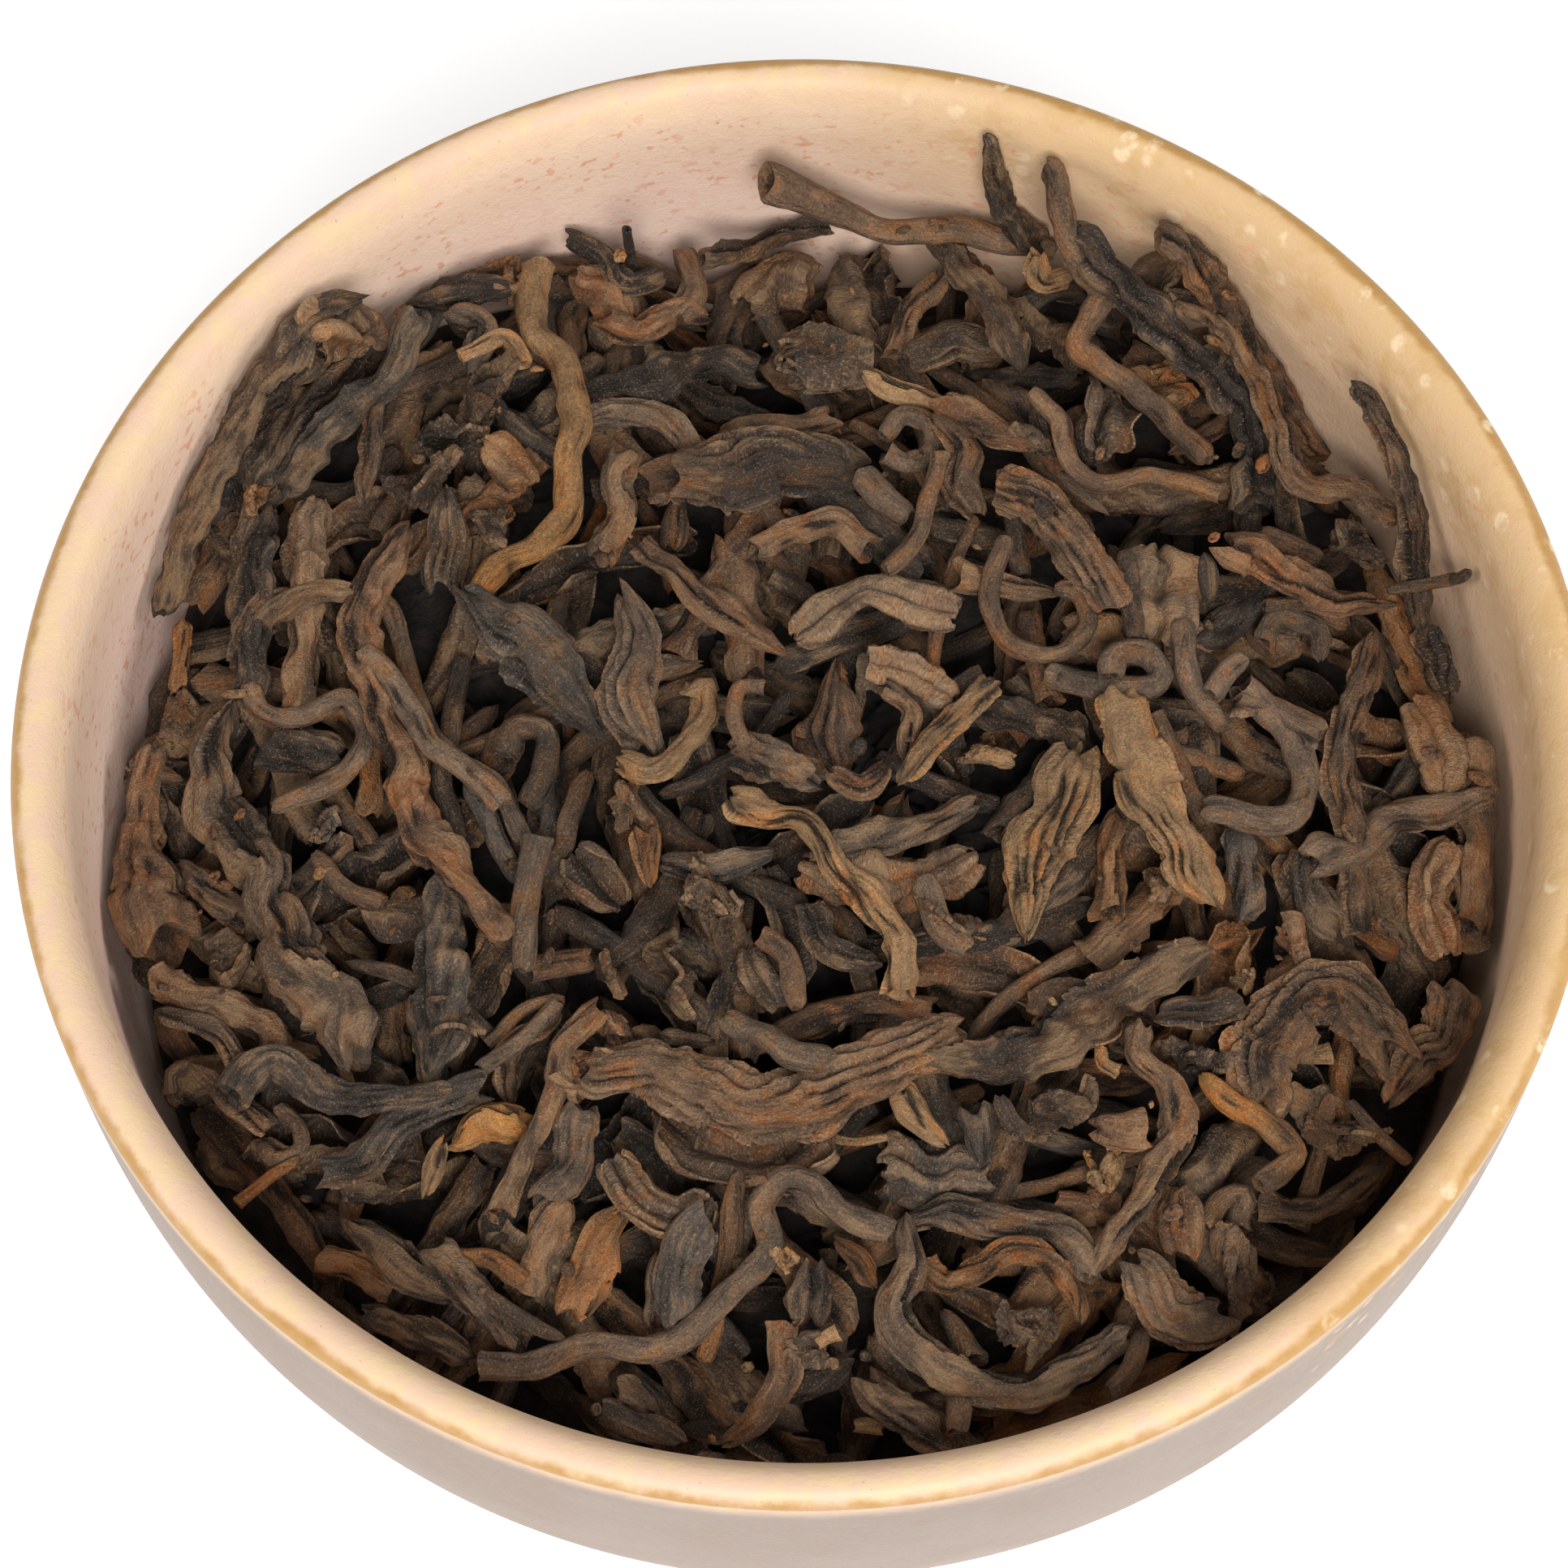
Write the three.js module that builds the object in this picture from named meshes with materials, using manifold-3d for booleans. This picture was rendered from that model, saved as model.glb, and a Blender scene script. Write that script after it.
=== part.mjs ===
// Ripe pu erh tea: loose twisted leaves heaped in a small stoneware bowl.
// Millimetres, +Z up, origin at the middle of the underside of the foot.

import * as THREE from 'three';
import { mergeVertices } from 'three/addons/utils/BufferGeometryUtils.js';
import Module from 'manifold-3d';

const wasm = await Module();
wasm.setup();

// Bowl
const RIM_RADIUS = 50;
const BOWL_HEIGHT = 48;
const WALL = 3.4;
const LIP_RADIUS = WALL / 2;
const LIP_STEPS = 5;
const FOOT_RADIUS = 25;
const FOOT_HEIGHT = 2.4;
const FOOT_SPREAD = 0.6;
const FOOT_RING = 5;
const FOOT_RECESS = 1.2;
const FOOT_SLANT = 1.2;
const FLOOR_HEIGHT = 5;
const FLOOR_RADIUS = 20;
const BELLY_STEEPNESS = 3.4;
const BELLY_ROUNDNESS = 1.6;
const BELLY_STEPS = 8;
const BOWL_SIDES = 48;

// Heap of tea
const GAP = 0.4;
const BED_MIDDLE_HEIGHT = 37.4;
const BED_EDGE_HEIGHT = 33;
const BED_EDGE_POWER = 3;
const BED_SIDES = 36;
const BED_RINGS = 4;
const BED_WALL_STEPS = 4;
const HEAP_TOP = 42.6;
const LEANING_TOP = 46.8;
const CELL = 1;
const SINK = 0.35;
const STIFFENING_PASSES = 4;
const STIFF_SAG = 0.25;
const LEAF_FLATNESS = 0.78;
const SHEET_THICKNESS = 1;
const SHEET_WAVE = 0.45;
const SHEET_WAVE_ACROSS = 2.4;
const SHEET_WAVE_ALONG = 5;
const SHEET_COLUMNS = 5;
const TUBE_SIDES = 5;
const MOST_TWIST = 1.2;
const MOST_WAIST = 0.06;
const TIP_SHARE = 0.06;
const TIP_ROUNDNESS = 0.45;
const FOOTPRINT_SHARE = 0.7;
const STEP_LENGTH = 4.2;
const SPOT_COUNT = 300;
const FILLER_COUNT = 36;
const FILLER_LENGTHS = [8, 14];
const FILLER_WIDTHS = [3, 4.6];
const FILLER_TURNS = [-40, 40];
const FILLER_SEED = 41;
const WELD_DISTANCE = 0.1;
const WELD_PASSES = 3;

const STONEWARE = { color: 0xe2c3a0, roughness: 0.55, metalness: 0 };
const TEA = { color: 0x54412f, roughness: 0.85, metalness: 0 };

// The pieces that show, from the lowest to the highest. x and y are the middle of the piece,
// heading is its direction there, turn is how far the direction swings from end to end,
// and rise lifts its first end, where it leans on the wall of the bowl.
const SHOWN_PIECES = [
  { x: -13, y: -32.3, heading: -112, long: 9, wide: 3.6, turn: 0 },
  { x: -7.5, y: -32.5, heading: -100, long: 8, wide: 3.2, turn: 0 },
  { x: -36.4, y: 13.5, heading: -92, long: 13, wide: 2.8, turn: 4 },
  { x: -43.7, y: -6, heading: -88, long: 14, wide: 4.6, turn: 60 },
  { x: -37, y: -16, heading: -28, long: 11, wide: 2.6, turn: -20 },
  { x: -9, y: 30.2, heading: 13, long: 12.5, wide: 3.4, turn: 0 },
  { x: 1.2, y: 31.5, heading: -15, long: 6, wide: 4.6, turn: 30 },
  { x: 10, y: 32.5, heading: 8, long: 7, wide: 3.2, turn: 0 },
  { x: -12.8, y: 20.5, heading: -100, long: 8.5, wide: 2.6, turn: 0 },
  { x: 32.7, y: -8, heading: -70, long: 8, wide: 3.4, turn: 20 },
  { x: 23.3, y: 13.8, heading: -85, long: 7, wide: 5.4, turn: 0, sheet: true },
  { x: 17.5, y: -15.8, heading: 20, long: 7, wide: 5.2, turn: 0, sheet: true },
  { x: 9.5, y: -25.5, heading: 10, long: 6.8, wide: 4.4, turn: 0, sheet: true },
  { x: 2, y: 4.5, heading: -90, long: 7.5, wide: 5.2, turn: 0 },
  { x: 23.3, y: -34, heading: -40, long: 8, wide: 4, turn: 0 },
  { x: 26.5, y: -32, heading: 20, long: 4.8, wide: 4.4, turn: 0 },
  { x: -29, y: 28, heading: -145, long: 16.5, wide: 2.8, turn: 28 },
  { x: -11.4, y: 8, heading: -86, long: 12, wide: 4.2, turn: 10 },
  { x: -18, y: 8.7, heading: -47, long: 14, wide: 5, turn: 0 },
  { x: 7, y: 43, heading: -12, long: 20, wide: 2.4, turn: 15 },
  { x: 12, y: 37, heading: -62, long: 12, wide: 2.8, turn: 0 },
  { x: -11, y: 27, heading: -10, long: 11, wide: 2.6, turn: -70 },
  { x: 33, y: 15.3, heading: -22, long: 12.5, wide: 2.9, turn: 0 },
  { x: 4, y: 13.8, heading: 15, long: 12, wide: 2.6, turn: -60 },
  { x: 9, y: 4, heading: 50, long: 9.5, wide: 2.1, turn: 0 },
  { x: 16, y: -4, heading: -106, long: 13.5, wide: 4.4, turn: 10 },
  { x: 36, y: -16, heading: -45, long: 7, wide: 3.6, turn: 0 },
  { x: 30, y: -17.5, heading: -115, long: 10, wide: 4.2, turn: 20 },
  { x: 41, y: -17.5, heading: -115, long: 10, wide: 3.4, turn: -60 },
  { x: 33.7, y: -22, heading: -60, long: 6, wide: 4.4, turn: 0 },
  { x: 32.5, y: -28.2, heading: 12, long: 8.5, wide: 2.3, turn: 35 },
  { x: -23.3, y: -13, heading: -92, long: 12, wide: 3.6, turn: 0 },
  { x: -17.8, y: -8.5, heading: -94, long: 9.5, wide: 2.1, turn: 0 },
  { x: -29, y: -21.5, heading: -3, long: 14, wide: 2.5, turn: 10 },
  { x: -26.3, y: -24.3, heading: 35, long: 10, wide: 2.5, turn: -15 },
  { x: -25, y: -32.3, heading: -40, long: 9, wide: 3, turn: 0 },
  { x: -20.3, y: -34.5, heading: -44, long: 9.5, wide: 2.8, turn: 0 },
  { x: -4.8, y: -33, heading: -100, long: 12.5, wide: 1.9, turn: 0 },
  { x: -1.5, y: -40.5, heading: -110, long: 9, wide: 2, turn: -50 },
  { x: -6, y: 13.3, heading: -38, long: 13, wide: 2.6, turn: 0 },
  { x: 10.5, y: 24, heading: -80, long: 9, wide: 2.8, turn: -40 },
  { x: 17, y: 18, heading: -52, long: 12.5, wide: 3.6, turn: 0 },
  { x: -3, y: 23, heading: 3, long: 12.5, wide: 5.2, turn: 0 },
  { x: 0.5, y: 18.5, heading: 0, long: 9.5, wide: 2.2, turn: -60 },
  { x: 19, y: 22.6, heading: -20, long: 17, wide: 1.9, turn: 60 },
  { x: 45, y: -3, heading: -90, long: 14.5, wide: 3.4, turn: -40 },
  { x: 35.2, y: 0.7, heading: -90, long: 21.5, wide: 2.5, turn: 25 },
  { x: 32.2, y: 0.5, heading: -100, long: 15, wide: 2.1, turn: -150 },
  { x: 22.8, y: -1, heading: -68, long: 16.5, wide: 4, turn: 10 },
  { x: 38.5, y: -2.8, heading: 18, long: 13.5, wide: 3.2, turn: -10 },
  { x: 6.3, y: -3.6, heading: 12, long: 10.5, wide: 2.4, turn: 15 },
  { x: -8, y: 2.6, heading: 45, long: 9.5, wide: 2.1, turn: 110 },
  { x: -34.5, y: 12.8, heading: 15, long: 9, wide: 2, turn: -60 },
  { x: -28.9, y: 3.5, heading: -80, long: 19, wide: 1.9, turn: -190 },
  { x: -27, y: 4, heading: -70, long: 30, wide: 3, turn: 45 },
  { x: -25, y: 6.5, heading: -58, long: 22, wide: 2, turn: 0 },
  { x: -35, y: -6.5, heading: -66, long: 27, wide: 4.2, turn: 35 },
  { x: -38.7, y: 24.5, heading: -110, long: 25.5, wide: 2.9, turn: 20, rise: 9 },
  { x: -15.9, y: 26.5, heading: -88, long: 25, wide: 2.4, turn: -40 },
  { x: 31.5, y: 28, heading: -68, long: 23, wide: 2.4, turn: 10 },
  { x: 31, y: 34, heading: -58, long: 21, wide: 3.2, turn: -20, rise: 12 },
  { x: 19.5, y: 34, heading: -80, long: 26, wide: 2, turn: 30, rise: 12 },
  { x: 25.5, y: 33, heading: -52, long: 24, wide: 2.9, turn: -30, rise: 8 },
  { x: 14.5, y: 43, heading: -65, long: 9, wide: 3, turn: 0, rise: 14 },
  { x: 40.6, y: 20, heading: -90, long: 22, wide: 2.4, turn: -45, rise: 9 },
  { x: 14, y: 9.8, heading: -25, long: 20, wide: 1.8, turn: 250 },
  { x: 2, y: -5.5, heading: -52, long: 19, wide: 2.6, turn: -60 },
  { x: -2, y: -21.8, heading: 2, long: 26, wide: 4.6, turn: 35 },
  { x: -16, y: -22.5, heading: -108, long: 15, wide: 2, turn: 0 },
  { x: 12.5, y: -31.8, heading: -5, long: 13, wide: 2.1, turn: -70 },
  { x: 9, y: -38, heading: -35, long: 23, wide: 2.7, turn: 120 },
  { x: 23.2, y: -24, heading: -100, long: 18.5, wide: 2.5, turn: -60 },
  { x: 28, y: -22.3, heading: -42, long: 8.5, wide: 2, turn: 0 },
  { x: -10, y: -38, heading: 12, long: 20, wide: 1.9, turn: 50 },
  { x: -0.5, y: -27.2, heading: 5, long: 12, wide: 1.9, turn: -140 },
];

function mulberry(seed) {
  let state = seed;
  return () => {
    state = (state + 0x6d2b79f5) | 0;
    let mixed = Math.imul(state ^ (state >>> 15), 1 | state);
    mixed = (mixed + Math.imul(mixed ^ (mixed >>> 7), 61 | mixed)) ^ mixed;
    return ((mixed ^ (mixed >>> 14)) >>> 0) / 4294967296;
  };
}

// Share of the way out that a belly has reached at a share of its height.
function bellyShare(share) {
  return Math.pow(1 - Math.pow(1 - share, BELLY_STEEPNESS), 1 / BELLY_ROUNDNESS);
}

function outerRadius(height) {
  const share = (height - FOOT_HEIGHT) / (BOWL_HEIGHT - LIP_RADIUS - FOOT_HEIGHT);
  const start = FOOT_RADIUS + FOOT_SPREAD;
  return start + (RIM_RADIUS - start) * bellyShare(share);
}

function innerRadius(height) {
  const share = (height - FLOOR_HEIGHT) / (BOWL_HEIGHT - LIP_RADIUS - FLOOR_HEIGHT);
  const reached = bellyShare(THREE.MathUtils.clamp(share, 0, 1));
  return FLOOR_RADIUS + (RIM_RADIUS - WALL - FLOOR_RADIUS) * reached;
}

function bowlGeometry() {
  const profile = [
    new THREE.Vector2(0, FOOT_RECESS),
    new THREE.Vector2(FOOT_RADIUS - FOOT_RING - FOOT_SLANT, FOOT_RECESS),
    new THREE.Vector2(FOOT_RADIUS - FOOT_RING, 0),
    new THREE.Vector2(FOOT_RADIUS, 0),
  ];
  const lipBase = BOWL_HEIGHT - LIP_RADIUS;
  for (let i = 0; i <= BELLY_STEPS; i++) {
    const height = FOOT_HEIGHT + (lipBase - FOOT_HEIGHT) * Math.pow(i / BELLY_STEPS, BELLY_ROUNDNESS);
    profile.push(new THREE.Vector2(outerRadius(height), height));
  }
  for (let i = 1; i < LIP_STEPS; i++) {
    const angle = (Math.PI * i) / LIP_STEPS;
    const radius = RIM_RADIUS - LIP_RADIUS + LIP_RADIUS * Math.cos(angle);
    profile.push(new THREE.Vector2(radius, lipBase + LIP_RADIUS * Math.sin(angle)));
  }
  for (let i = BELLY_STEPS; i >= 0; i--) {
    const height = FLOOR_HEIGHT + (lipBase - FLOOR_HEIGHT) * Math.pow(i / BELLY_STEPS, BELLY_ROUNDNESS);
    profile.push(new THREE.Vector2(innerRadius(height), height));
  }
  profile.push(new THREE.Vector2(0, FLOOR_HEIGHT));
  const geometry = new THREE.LatheGeometry(profile, BOWL_SIDES);
  geometry.rotateX(Math.PI / 2);
  return geometry;
}

// Height of the bare core of the heap.
function bedHeight(x, y) {
  const share = Math.min(Math.hypot(x, y) / innerRadius(BED_EDGE_HEIGHT), 1);
  const fall = (BED_MIDDLE_HEIGHT - BED_EDGE_HEIGHT) * Math.pow(share, BED_EDGE_POWER);
  return BED_MIDDLE_HEIGHT - fall;
}

// A solid with the core's domed top and the bowl's inner form below it, on a polar grid.
function coreSolid() {
  const rings = [];
  for (let i = 1; i <= BED_RINGS; i++) {
    const share = i / BED_RINGS;
    rings.push((angle) => {
      const radius = share * (innerRadius(BED_EDGE_HEIGHT) - GAP);
      const x = radius * Math.cos(angle);
      const y = radius * Math.sin(angle);
      return [x, y, bedHeight(x, y)];
    });
  }
  for (let i = BED_WALL_STEPS - 1; i >= 0; i--) {
    const low = FLOOR_HEIGHT + GAP;
    const share = Math.pow(i / BED_WALL_STEPS, BELLY_ROUNDNESS);
    const height = low + (BED_EDGE_HEIGHT - low) * share;
    const radius = innerRadius(height - GAP) - GAP;
    rings.push((angle) => [radius * Math.cos(angle), radius * Math.sin(angle), height]);
  }
  const points = [0, 0, bedHeight(0, 0)];
  for (const ring of rings) {
    for (let side = 0; side < BED_SIDES; side++) {
      points.push(...ring((2 * Math.PI * side) / BED_SIDES));
    }
  }
  points.push(0, 0, FLOOR_HEIGHT + GAP);
  return solid(points, stackedFaces(rings.length, BED_SIDES));
}

// Faces of a closed body: a first point, rings of equal count, and a last point.
function stackedFaces(ringCount, sides) {
  const faces = [];
  const last = 1 + ringCount * sides;
  for (let side = 0; side < sides; side++) {
    const next = (side + 1) % sides;
    faces.push(0, 1 + side, 1 + next);
    for (let ring = 0; ring < ringCount - 1; ring++) {
      const here = 1 + ring * sides;
      const below = here + sides;
      faces.push(here + side, below + side, below + next);
      faces.push(here + side, below + next, here + next);
    }
    const end = 1 + (ringCount - 1) * sides;
    faces.push(end + side, last, end + next);
  }
  return faces;
}

function solid(points, faces) {
  const mesh = new wasm.Mesh({
    numProp: 3,
    vertProperties: new Float32Array(points),
    triVerts: new Uint32Array(faces),
  });
  const body = new wasm.Manifold(mesh);
  if (body.volume() > 0) {
    return body;
  }
  const turned = [];
  for (let i = 0; i < faces.length; i += 3) {
    turned.push(faces[i], faces[i + 2], faces[i + 1]);
  }
  mesh.triVerts = new Uint32Array(turned);
  return new wasm.Manifold(mesh);
}

// Height map of the heap as it grows, on square cells.
class HeightMap {
  constructor(radius) {
    this.count = Math.ceil((2 * radius) / CELL) + 1;
    this.start = -radius;
    this.cells = new Float64Array(this.count * this.count);
    for (let row = 0; row < this.count; row++) {
      for (let column = 0; column < this.count; column++) {
        const height = bedHeight(this.start + column * CELL, this.start + row * CELL);
        this.cells[row * this.count + column] = height;
      }
    }
  }

  around(x, y, reach, visit) {
    const middle = [Math.round((x - this.start) / CELL), Math.round((y - this.start) / CELL)];
    const span = Math.ceil(reach / CELL);
    for (let row = middle[1] - span; row <= middle[1] + span; row++) {
      for (let column = middle[0] - span; column <= middle[0] + span; column++) {
        const inside = row >= 0 && column >= 0 && row < this.count && column < this.count;
        const away = Math.hypot((column - middle[0]) * CELL, (row - middle[1]) * CELL);
        if (inside && away <= reach) {
          visit(row * this.count + column, away);
        }
      }
    }
  }

  top(x, y, reach) {
    let highest = -Infinity;
    this.around(x, y, reach, (cell) => {
      highest = Math.max(highest, this.cells[cell]);
    });
    return highest;
  }

  raise(x, y, reach, height) {
    this.around(x, y, reach, (cell, away) => {
      const drop = reach * (1 - Math.sqrt(Math.max(0, 1 - (away / (reach + CELL)) ** 2)));
      this.cells[cell] = Math.max(this.cells[cell], height - drop);
    });
  }
}

// Points along a piece's plan curve, with the heading at each.
function planCurve(piece, steps) {
  const curve = [{ x: piece.x, y: piece.y }];
  const stepLength = piece.long / steps;
  for (const way of [-1, 1]) {
    let { x, y } = piece;
    for (let i = 1; i <= steps / 2; i++) {
      const share = (way * (i - 0.5)) / steps;
      const heading = THREE.MathUtils.degToRad(piece.heading + piece.turn * share);
      x += way * stepLength * Math.cos(heading);
      y += way * stepLength * Math.sin(heading);
      if (way < 0) {
        curve.unshift({ x, y });
      } else {
        curve.push({ x, y });
      }
    }
  }
  return curve;
}

// Width along a piece, as a share of its full width: rounded ends and a slight waist.
function fullness(share, waist) {
  const inner = THREE.MathUtils.clamp(share, TIP_SHARE, 1 - TIP_SHARE);
  const ends = Math.pow(Math.sin(Math.PI * inner), TIP_ROUNDNESS);
  return ends * (1 + waist * Math.cos(share * 4 * Math.PI));
}

// Lays a piece on what is already there and returns the middle, the half width and the half
// height at each of its steps.
function layPiece(piece, map, random) {
  const steps = 2 * Math.max(1, Math.round(piece.long / STEP_LENGTH / 2));
  const waist = MOST_WAIST * (2 * random() - 1);
  const stations = planCurve(piece, steps).map((point, i) => {
    const share = i / steps;
    const half = (piece.wide / 2) * fullness(share, waist);
    const thick = piece.sheet ? SHEET_THICKNESS / 2 : half * LEAF_FLATNESS;
    return { ...point, share, half, thick };
  });
  for (const station of stations) {
    keepInside(station, BED_EDGE_HEIGHT);
    const ground = map.top(station.x, station.y, station.half * FOOTPRINT_SHARE);
    station.z = ground + station.thick - SINK;
  }
  for (let pass = 0; pass < STIFFENING_PASSES; pass++) {
    for (let i = 1; i < stations.length - 1; i++) {
      const bridge = (stations[i - 1].z + stations[i + 1].z) / 2 - STIFF_SAG;
      stations[i].z = Math.max(stations[i].z, bridge);
    }
  }
  for (const station of stations) {
    const lean = (piece.rise ?? 0) * (1 - station.share) ** 2;
    const ceiling = (piece.rise ? LEANING_TOP : HEAP_TOP) - station.thick;
    station.z = Math.min(station.z, HEAP_TOP - station.thick);
    station.z = Math.min(station.z + lean, ceiling);
    keepInside(station, station.z - station.thick);
    map.raise(station.x, station.y, station.half, station.z + station.thick);
  }
  return stations;
}

// Moves a step of a piece inwards where it would touch the wall of the bowl.
function keepInside(station, height) {
  const limit = innerRadius(height) - GAP - station.half;
  const radius = Math.hypot(station.x, station.y);
  if (radius > limit) {
    station.x *= limit / radius;
    station.y *= limit / radius;
  }
}

function directions(stations, i) {
  const before = stations[Math.max(i - 1, 0)];
  const after = stations[Math.min(i + 1, stations.length - 1)];
  const along = new THREE.Vector3(after.x - before.x, after.y - before.y, after.z - before.z).normalize();
  const across = new THREE.Vector3(-along.y, along.x, 0).normalize();
  return { across, upward: new THREE.Vector3().crossVectors(along, across) };
}

// A rolled leaf or stem: a flattened tube that twists along its length, with blunt ends.
function rolledSolid(stations, random) {
  const twist = MOST_TWIST * (2 * random() - 1);
  const points = [stations[0].x, stations[0].y, stations[0].z];
  stations.forEach((station, i) => {
    const { across, upward } = directions(stations, i);
    for (let side = 0; side < TUBE_SIDES; side++) {
      const angle = (2 * Math.PI * side) / TUBE_SIDES + twist * station.share;
      const sideways = station.half * Math.cos(angle);
      const upwards = station.thick * Math.sin(angle);
      points.push(
        station.x + across.x * sideways + upward.x * upwards,
        station.y + across.y * sideways + upward.y * upwards,
        station.z + across.z * sideways + upward.z * upwards,
      );
    }
  });
  const end = stations[stations.length - 1];
  points.push(end.x, end.y, end.z);
  return solid(points, stackedFaces(stations.length, TUBE_SIDES));
}

// An open leaf: a thin wavy solid whose upper and lower faces are split alike.
function sheetSolid(stations) {
  const columns = SHEET_COLUMNS;
  const points = [];
  for (const face of [1, -1]) {
    stations.forEach((station, i) => {
      const { across, upward } = directions(stations, i);
      for (let column = 0; column < columns; column++) {
        const share = (2 * column) / (columns - 1) - 1;
        const wave = SHEET_WAVE * Math.sin(share * SHEET_WAVE_ACROSS + station.share * SHEET_WAVE_ALONG);
        const lift = wave + (face * SHEET_THICKNESS) / 2;
        const sideways = share * station.half;
        points.push(
          station.x + across.x * sideways + upward.x * lift,
          station.y + across.y * sideways + upward.y * lift,
          station.z + across.z * sideways + upward.z * lift,
        );
      }
    });
  }
  const rows = stations.length;
  const under = rows * columns;
  const at = (row, column) => row * columns + column;
  const faces = [];
  const quad = (a, b, c, d) => faces.push(a, b, c, a, c, d);
  for (let row = 0; row < rows - 1; row++) {
    for (let column = 0; column < columns - 1; column++) {
      const corner = [at(row, column), at(row, column + 1), at(row + 1, column + 1), at(row + 1, column)];
      quad(...corner);
      faces.push(under + corner[0], under + corner[2], under + corner[1]);
      faces.push(under + corner[0], under + corner[3], under + corner[2]);
    }
    quad(at(row + 1, 0), under + at(row + 1, 0), under + at(row, 0), at(row, 0));
    const edge = columns - 1;
    quad(at(row, edge), under + at(row, edge), under + at(row + 1, edge), at(row + 1, edge));
  }
  for (let column = 0; column < columns - 1; column++) {
    quad(at(0, column), under + at(0, column), under + at(0, column + 1), at(0, column + 1));
    const row = rows - 1;
    quad(at(row, column + 1), under + at(row, column + 1), under + at(row, column), at(row, column));
  }
  return solid(points, faces);
}

// Leaves in the bare places between the shown ones. Each goes to the spot, of an even spiral of
// spots, that is farthest from all the leaves so far.
function fillerPieces(random) {
  const goldenAngle = Math.PI * (3 - Math.sqrt(5));
  const spots = [];
  for (let i = 0; i < SPOT_COUNT; i++) {
    const radius = (innerRadius(BED_EDGE_HEIGHT) - WALL) * Math.sqrt((i + 0.5) / SPOT_COUNT);
    spots.push({ x: radius * Math.cos(i * goldenAngle), y: radius * Math.sin(i * goldenAngle) });
  }
  const taken = SHOWN_PIECES.flatMap((piece) => planCurve(piece, 4));
  const between = ([least, most]) => least + (most - least) * random();
  const room = (spot) => Math.min(...taken.map((place) => Math.hypot(place.x - spot.x, place.y - spot.y)));
  const pieces = [];
  for (let i = 0; i < FILLER_COUNT; i++) {
    const spot = spots.reduce((best, next) => (room(next) > room(best) ? next : best));
    const piece = {
      ...spot,
      heading: 360 * random(),
      long: between(FILLER_LENGTHS),
      wide: between(FILLER_WIDTHS),
      turn: between(FILLER_TURNS),
    };
    pieces.push(piece);
    taken.push(...planCurve(piece, 4));
  }
  return pieces;
}

// Faces whose three corners are still apart, after each corner is sent to its new one.
function facesAfter(corners, sendTo) {
  const faces = [];
  for (let i = 0; i < corners.length; i += 3) {
    const face = [sendTo(corners[i]), sendTo(corners[i + 1]), sendTo(corners[i + 2])];
    if (new Set(face).size === 3) {
      faces.push(...face);
    }
  }
  return faces;
}

// Edges that more than two faces share, as pairs of corners.
function crowdedEdges(faces) {
  const uses = new Map();
  for (let i = 0; i < faces.length; i++) {
    const next = i % 3 === 2 ? i - 2 : i + 1;
    const pair = [Math.min(faces[i], faces[next]), Math.max(faces[i], faces[next])];
    uses.set(pair.join(), { pair, count: (uses.get(pair.join())?.count ?? 0) + 1 });
  }
  return [...uses.values()].filter((use) => use.count > 2).map((use) => use.pair);
}

function geometryOf(mesh) {
  const geometry = new THREE.BufferGeometry();
  geometry.setAttribute('position', new THREE.BufferAttribute(Float32Array.from(mesh.vertProperties), 3));
  geometry.setIndex(Array.from(mesh.triVerts));
  return geometry;
}

// The outer shell alone: sealed hollows are filled and loose scraps are dropped. Corners that
// nearly touch are first drawn together, so that no hair-thin slot or sliver is left.
function outerShell(body) {
  let shell = body;
  for (let pass = 0; pass < WELD_PASSES; pass++) {
    const welded = mergeVertices(geometryOf(shell.getMesh()), WELD_DISTANCE);
    let faces = facesAfter(welded.index.array, (corner) => corner);
    const sentTo = new Map(crowdedEdges(faces).map(([kept, drawn]) => [drawn, kept]));
    faces = facesAfter(faces, (corner) => sentTo.get(corner) ?? corner);
    const shells = solid(welded.attributes.position.array, faces).decompose();
    shell = shells.sort((one, other) => other.volume() - one.volume())[0];
  }
  return geometryOf(shell.getMesh());
}

function teaGeometry() {
  const random = mulberry(FILLER_SEED);
  const map = new HeightMap(RIM_RADIUS);
  let heap = coreSolid();
  for (const piece of [...fillerPieces(random), ...SHOWN_PIECES]) {
    const stations = layPiece(piece, map, random);
    heap = heap.add(piece.sheet ? sheetSolid(stations) : rolledSolid(stations, random));
  }
  return outerShell(heap);
}

function namedMesh(name, geometry, finish) {
  const mesh = new THREE.Mesh(geometry, new THREE.MeshStandardMaterial(finish));
  mesh.name = name;
  return mesh;
}

const bowlOfTea = new THREE.Group();
bowlOfTea.add(namedMesh('bowl', bowlGeometry(), STONEWARE));
bowlOfTea.add(namedMesh('tea_leaves', teaGeometry(), TEA));

export default bowlOfTea;
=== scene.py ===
"""A small stoneware bowl filled with loose, twisted ripe pu erh tea leaves.

Lengths are in millimetres until a mesh is made; meshes are in metres, in the frame of the CAD part.
"""

import math

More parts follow.
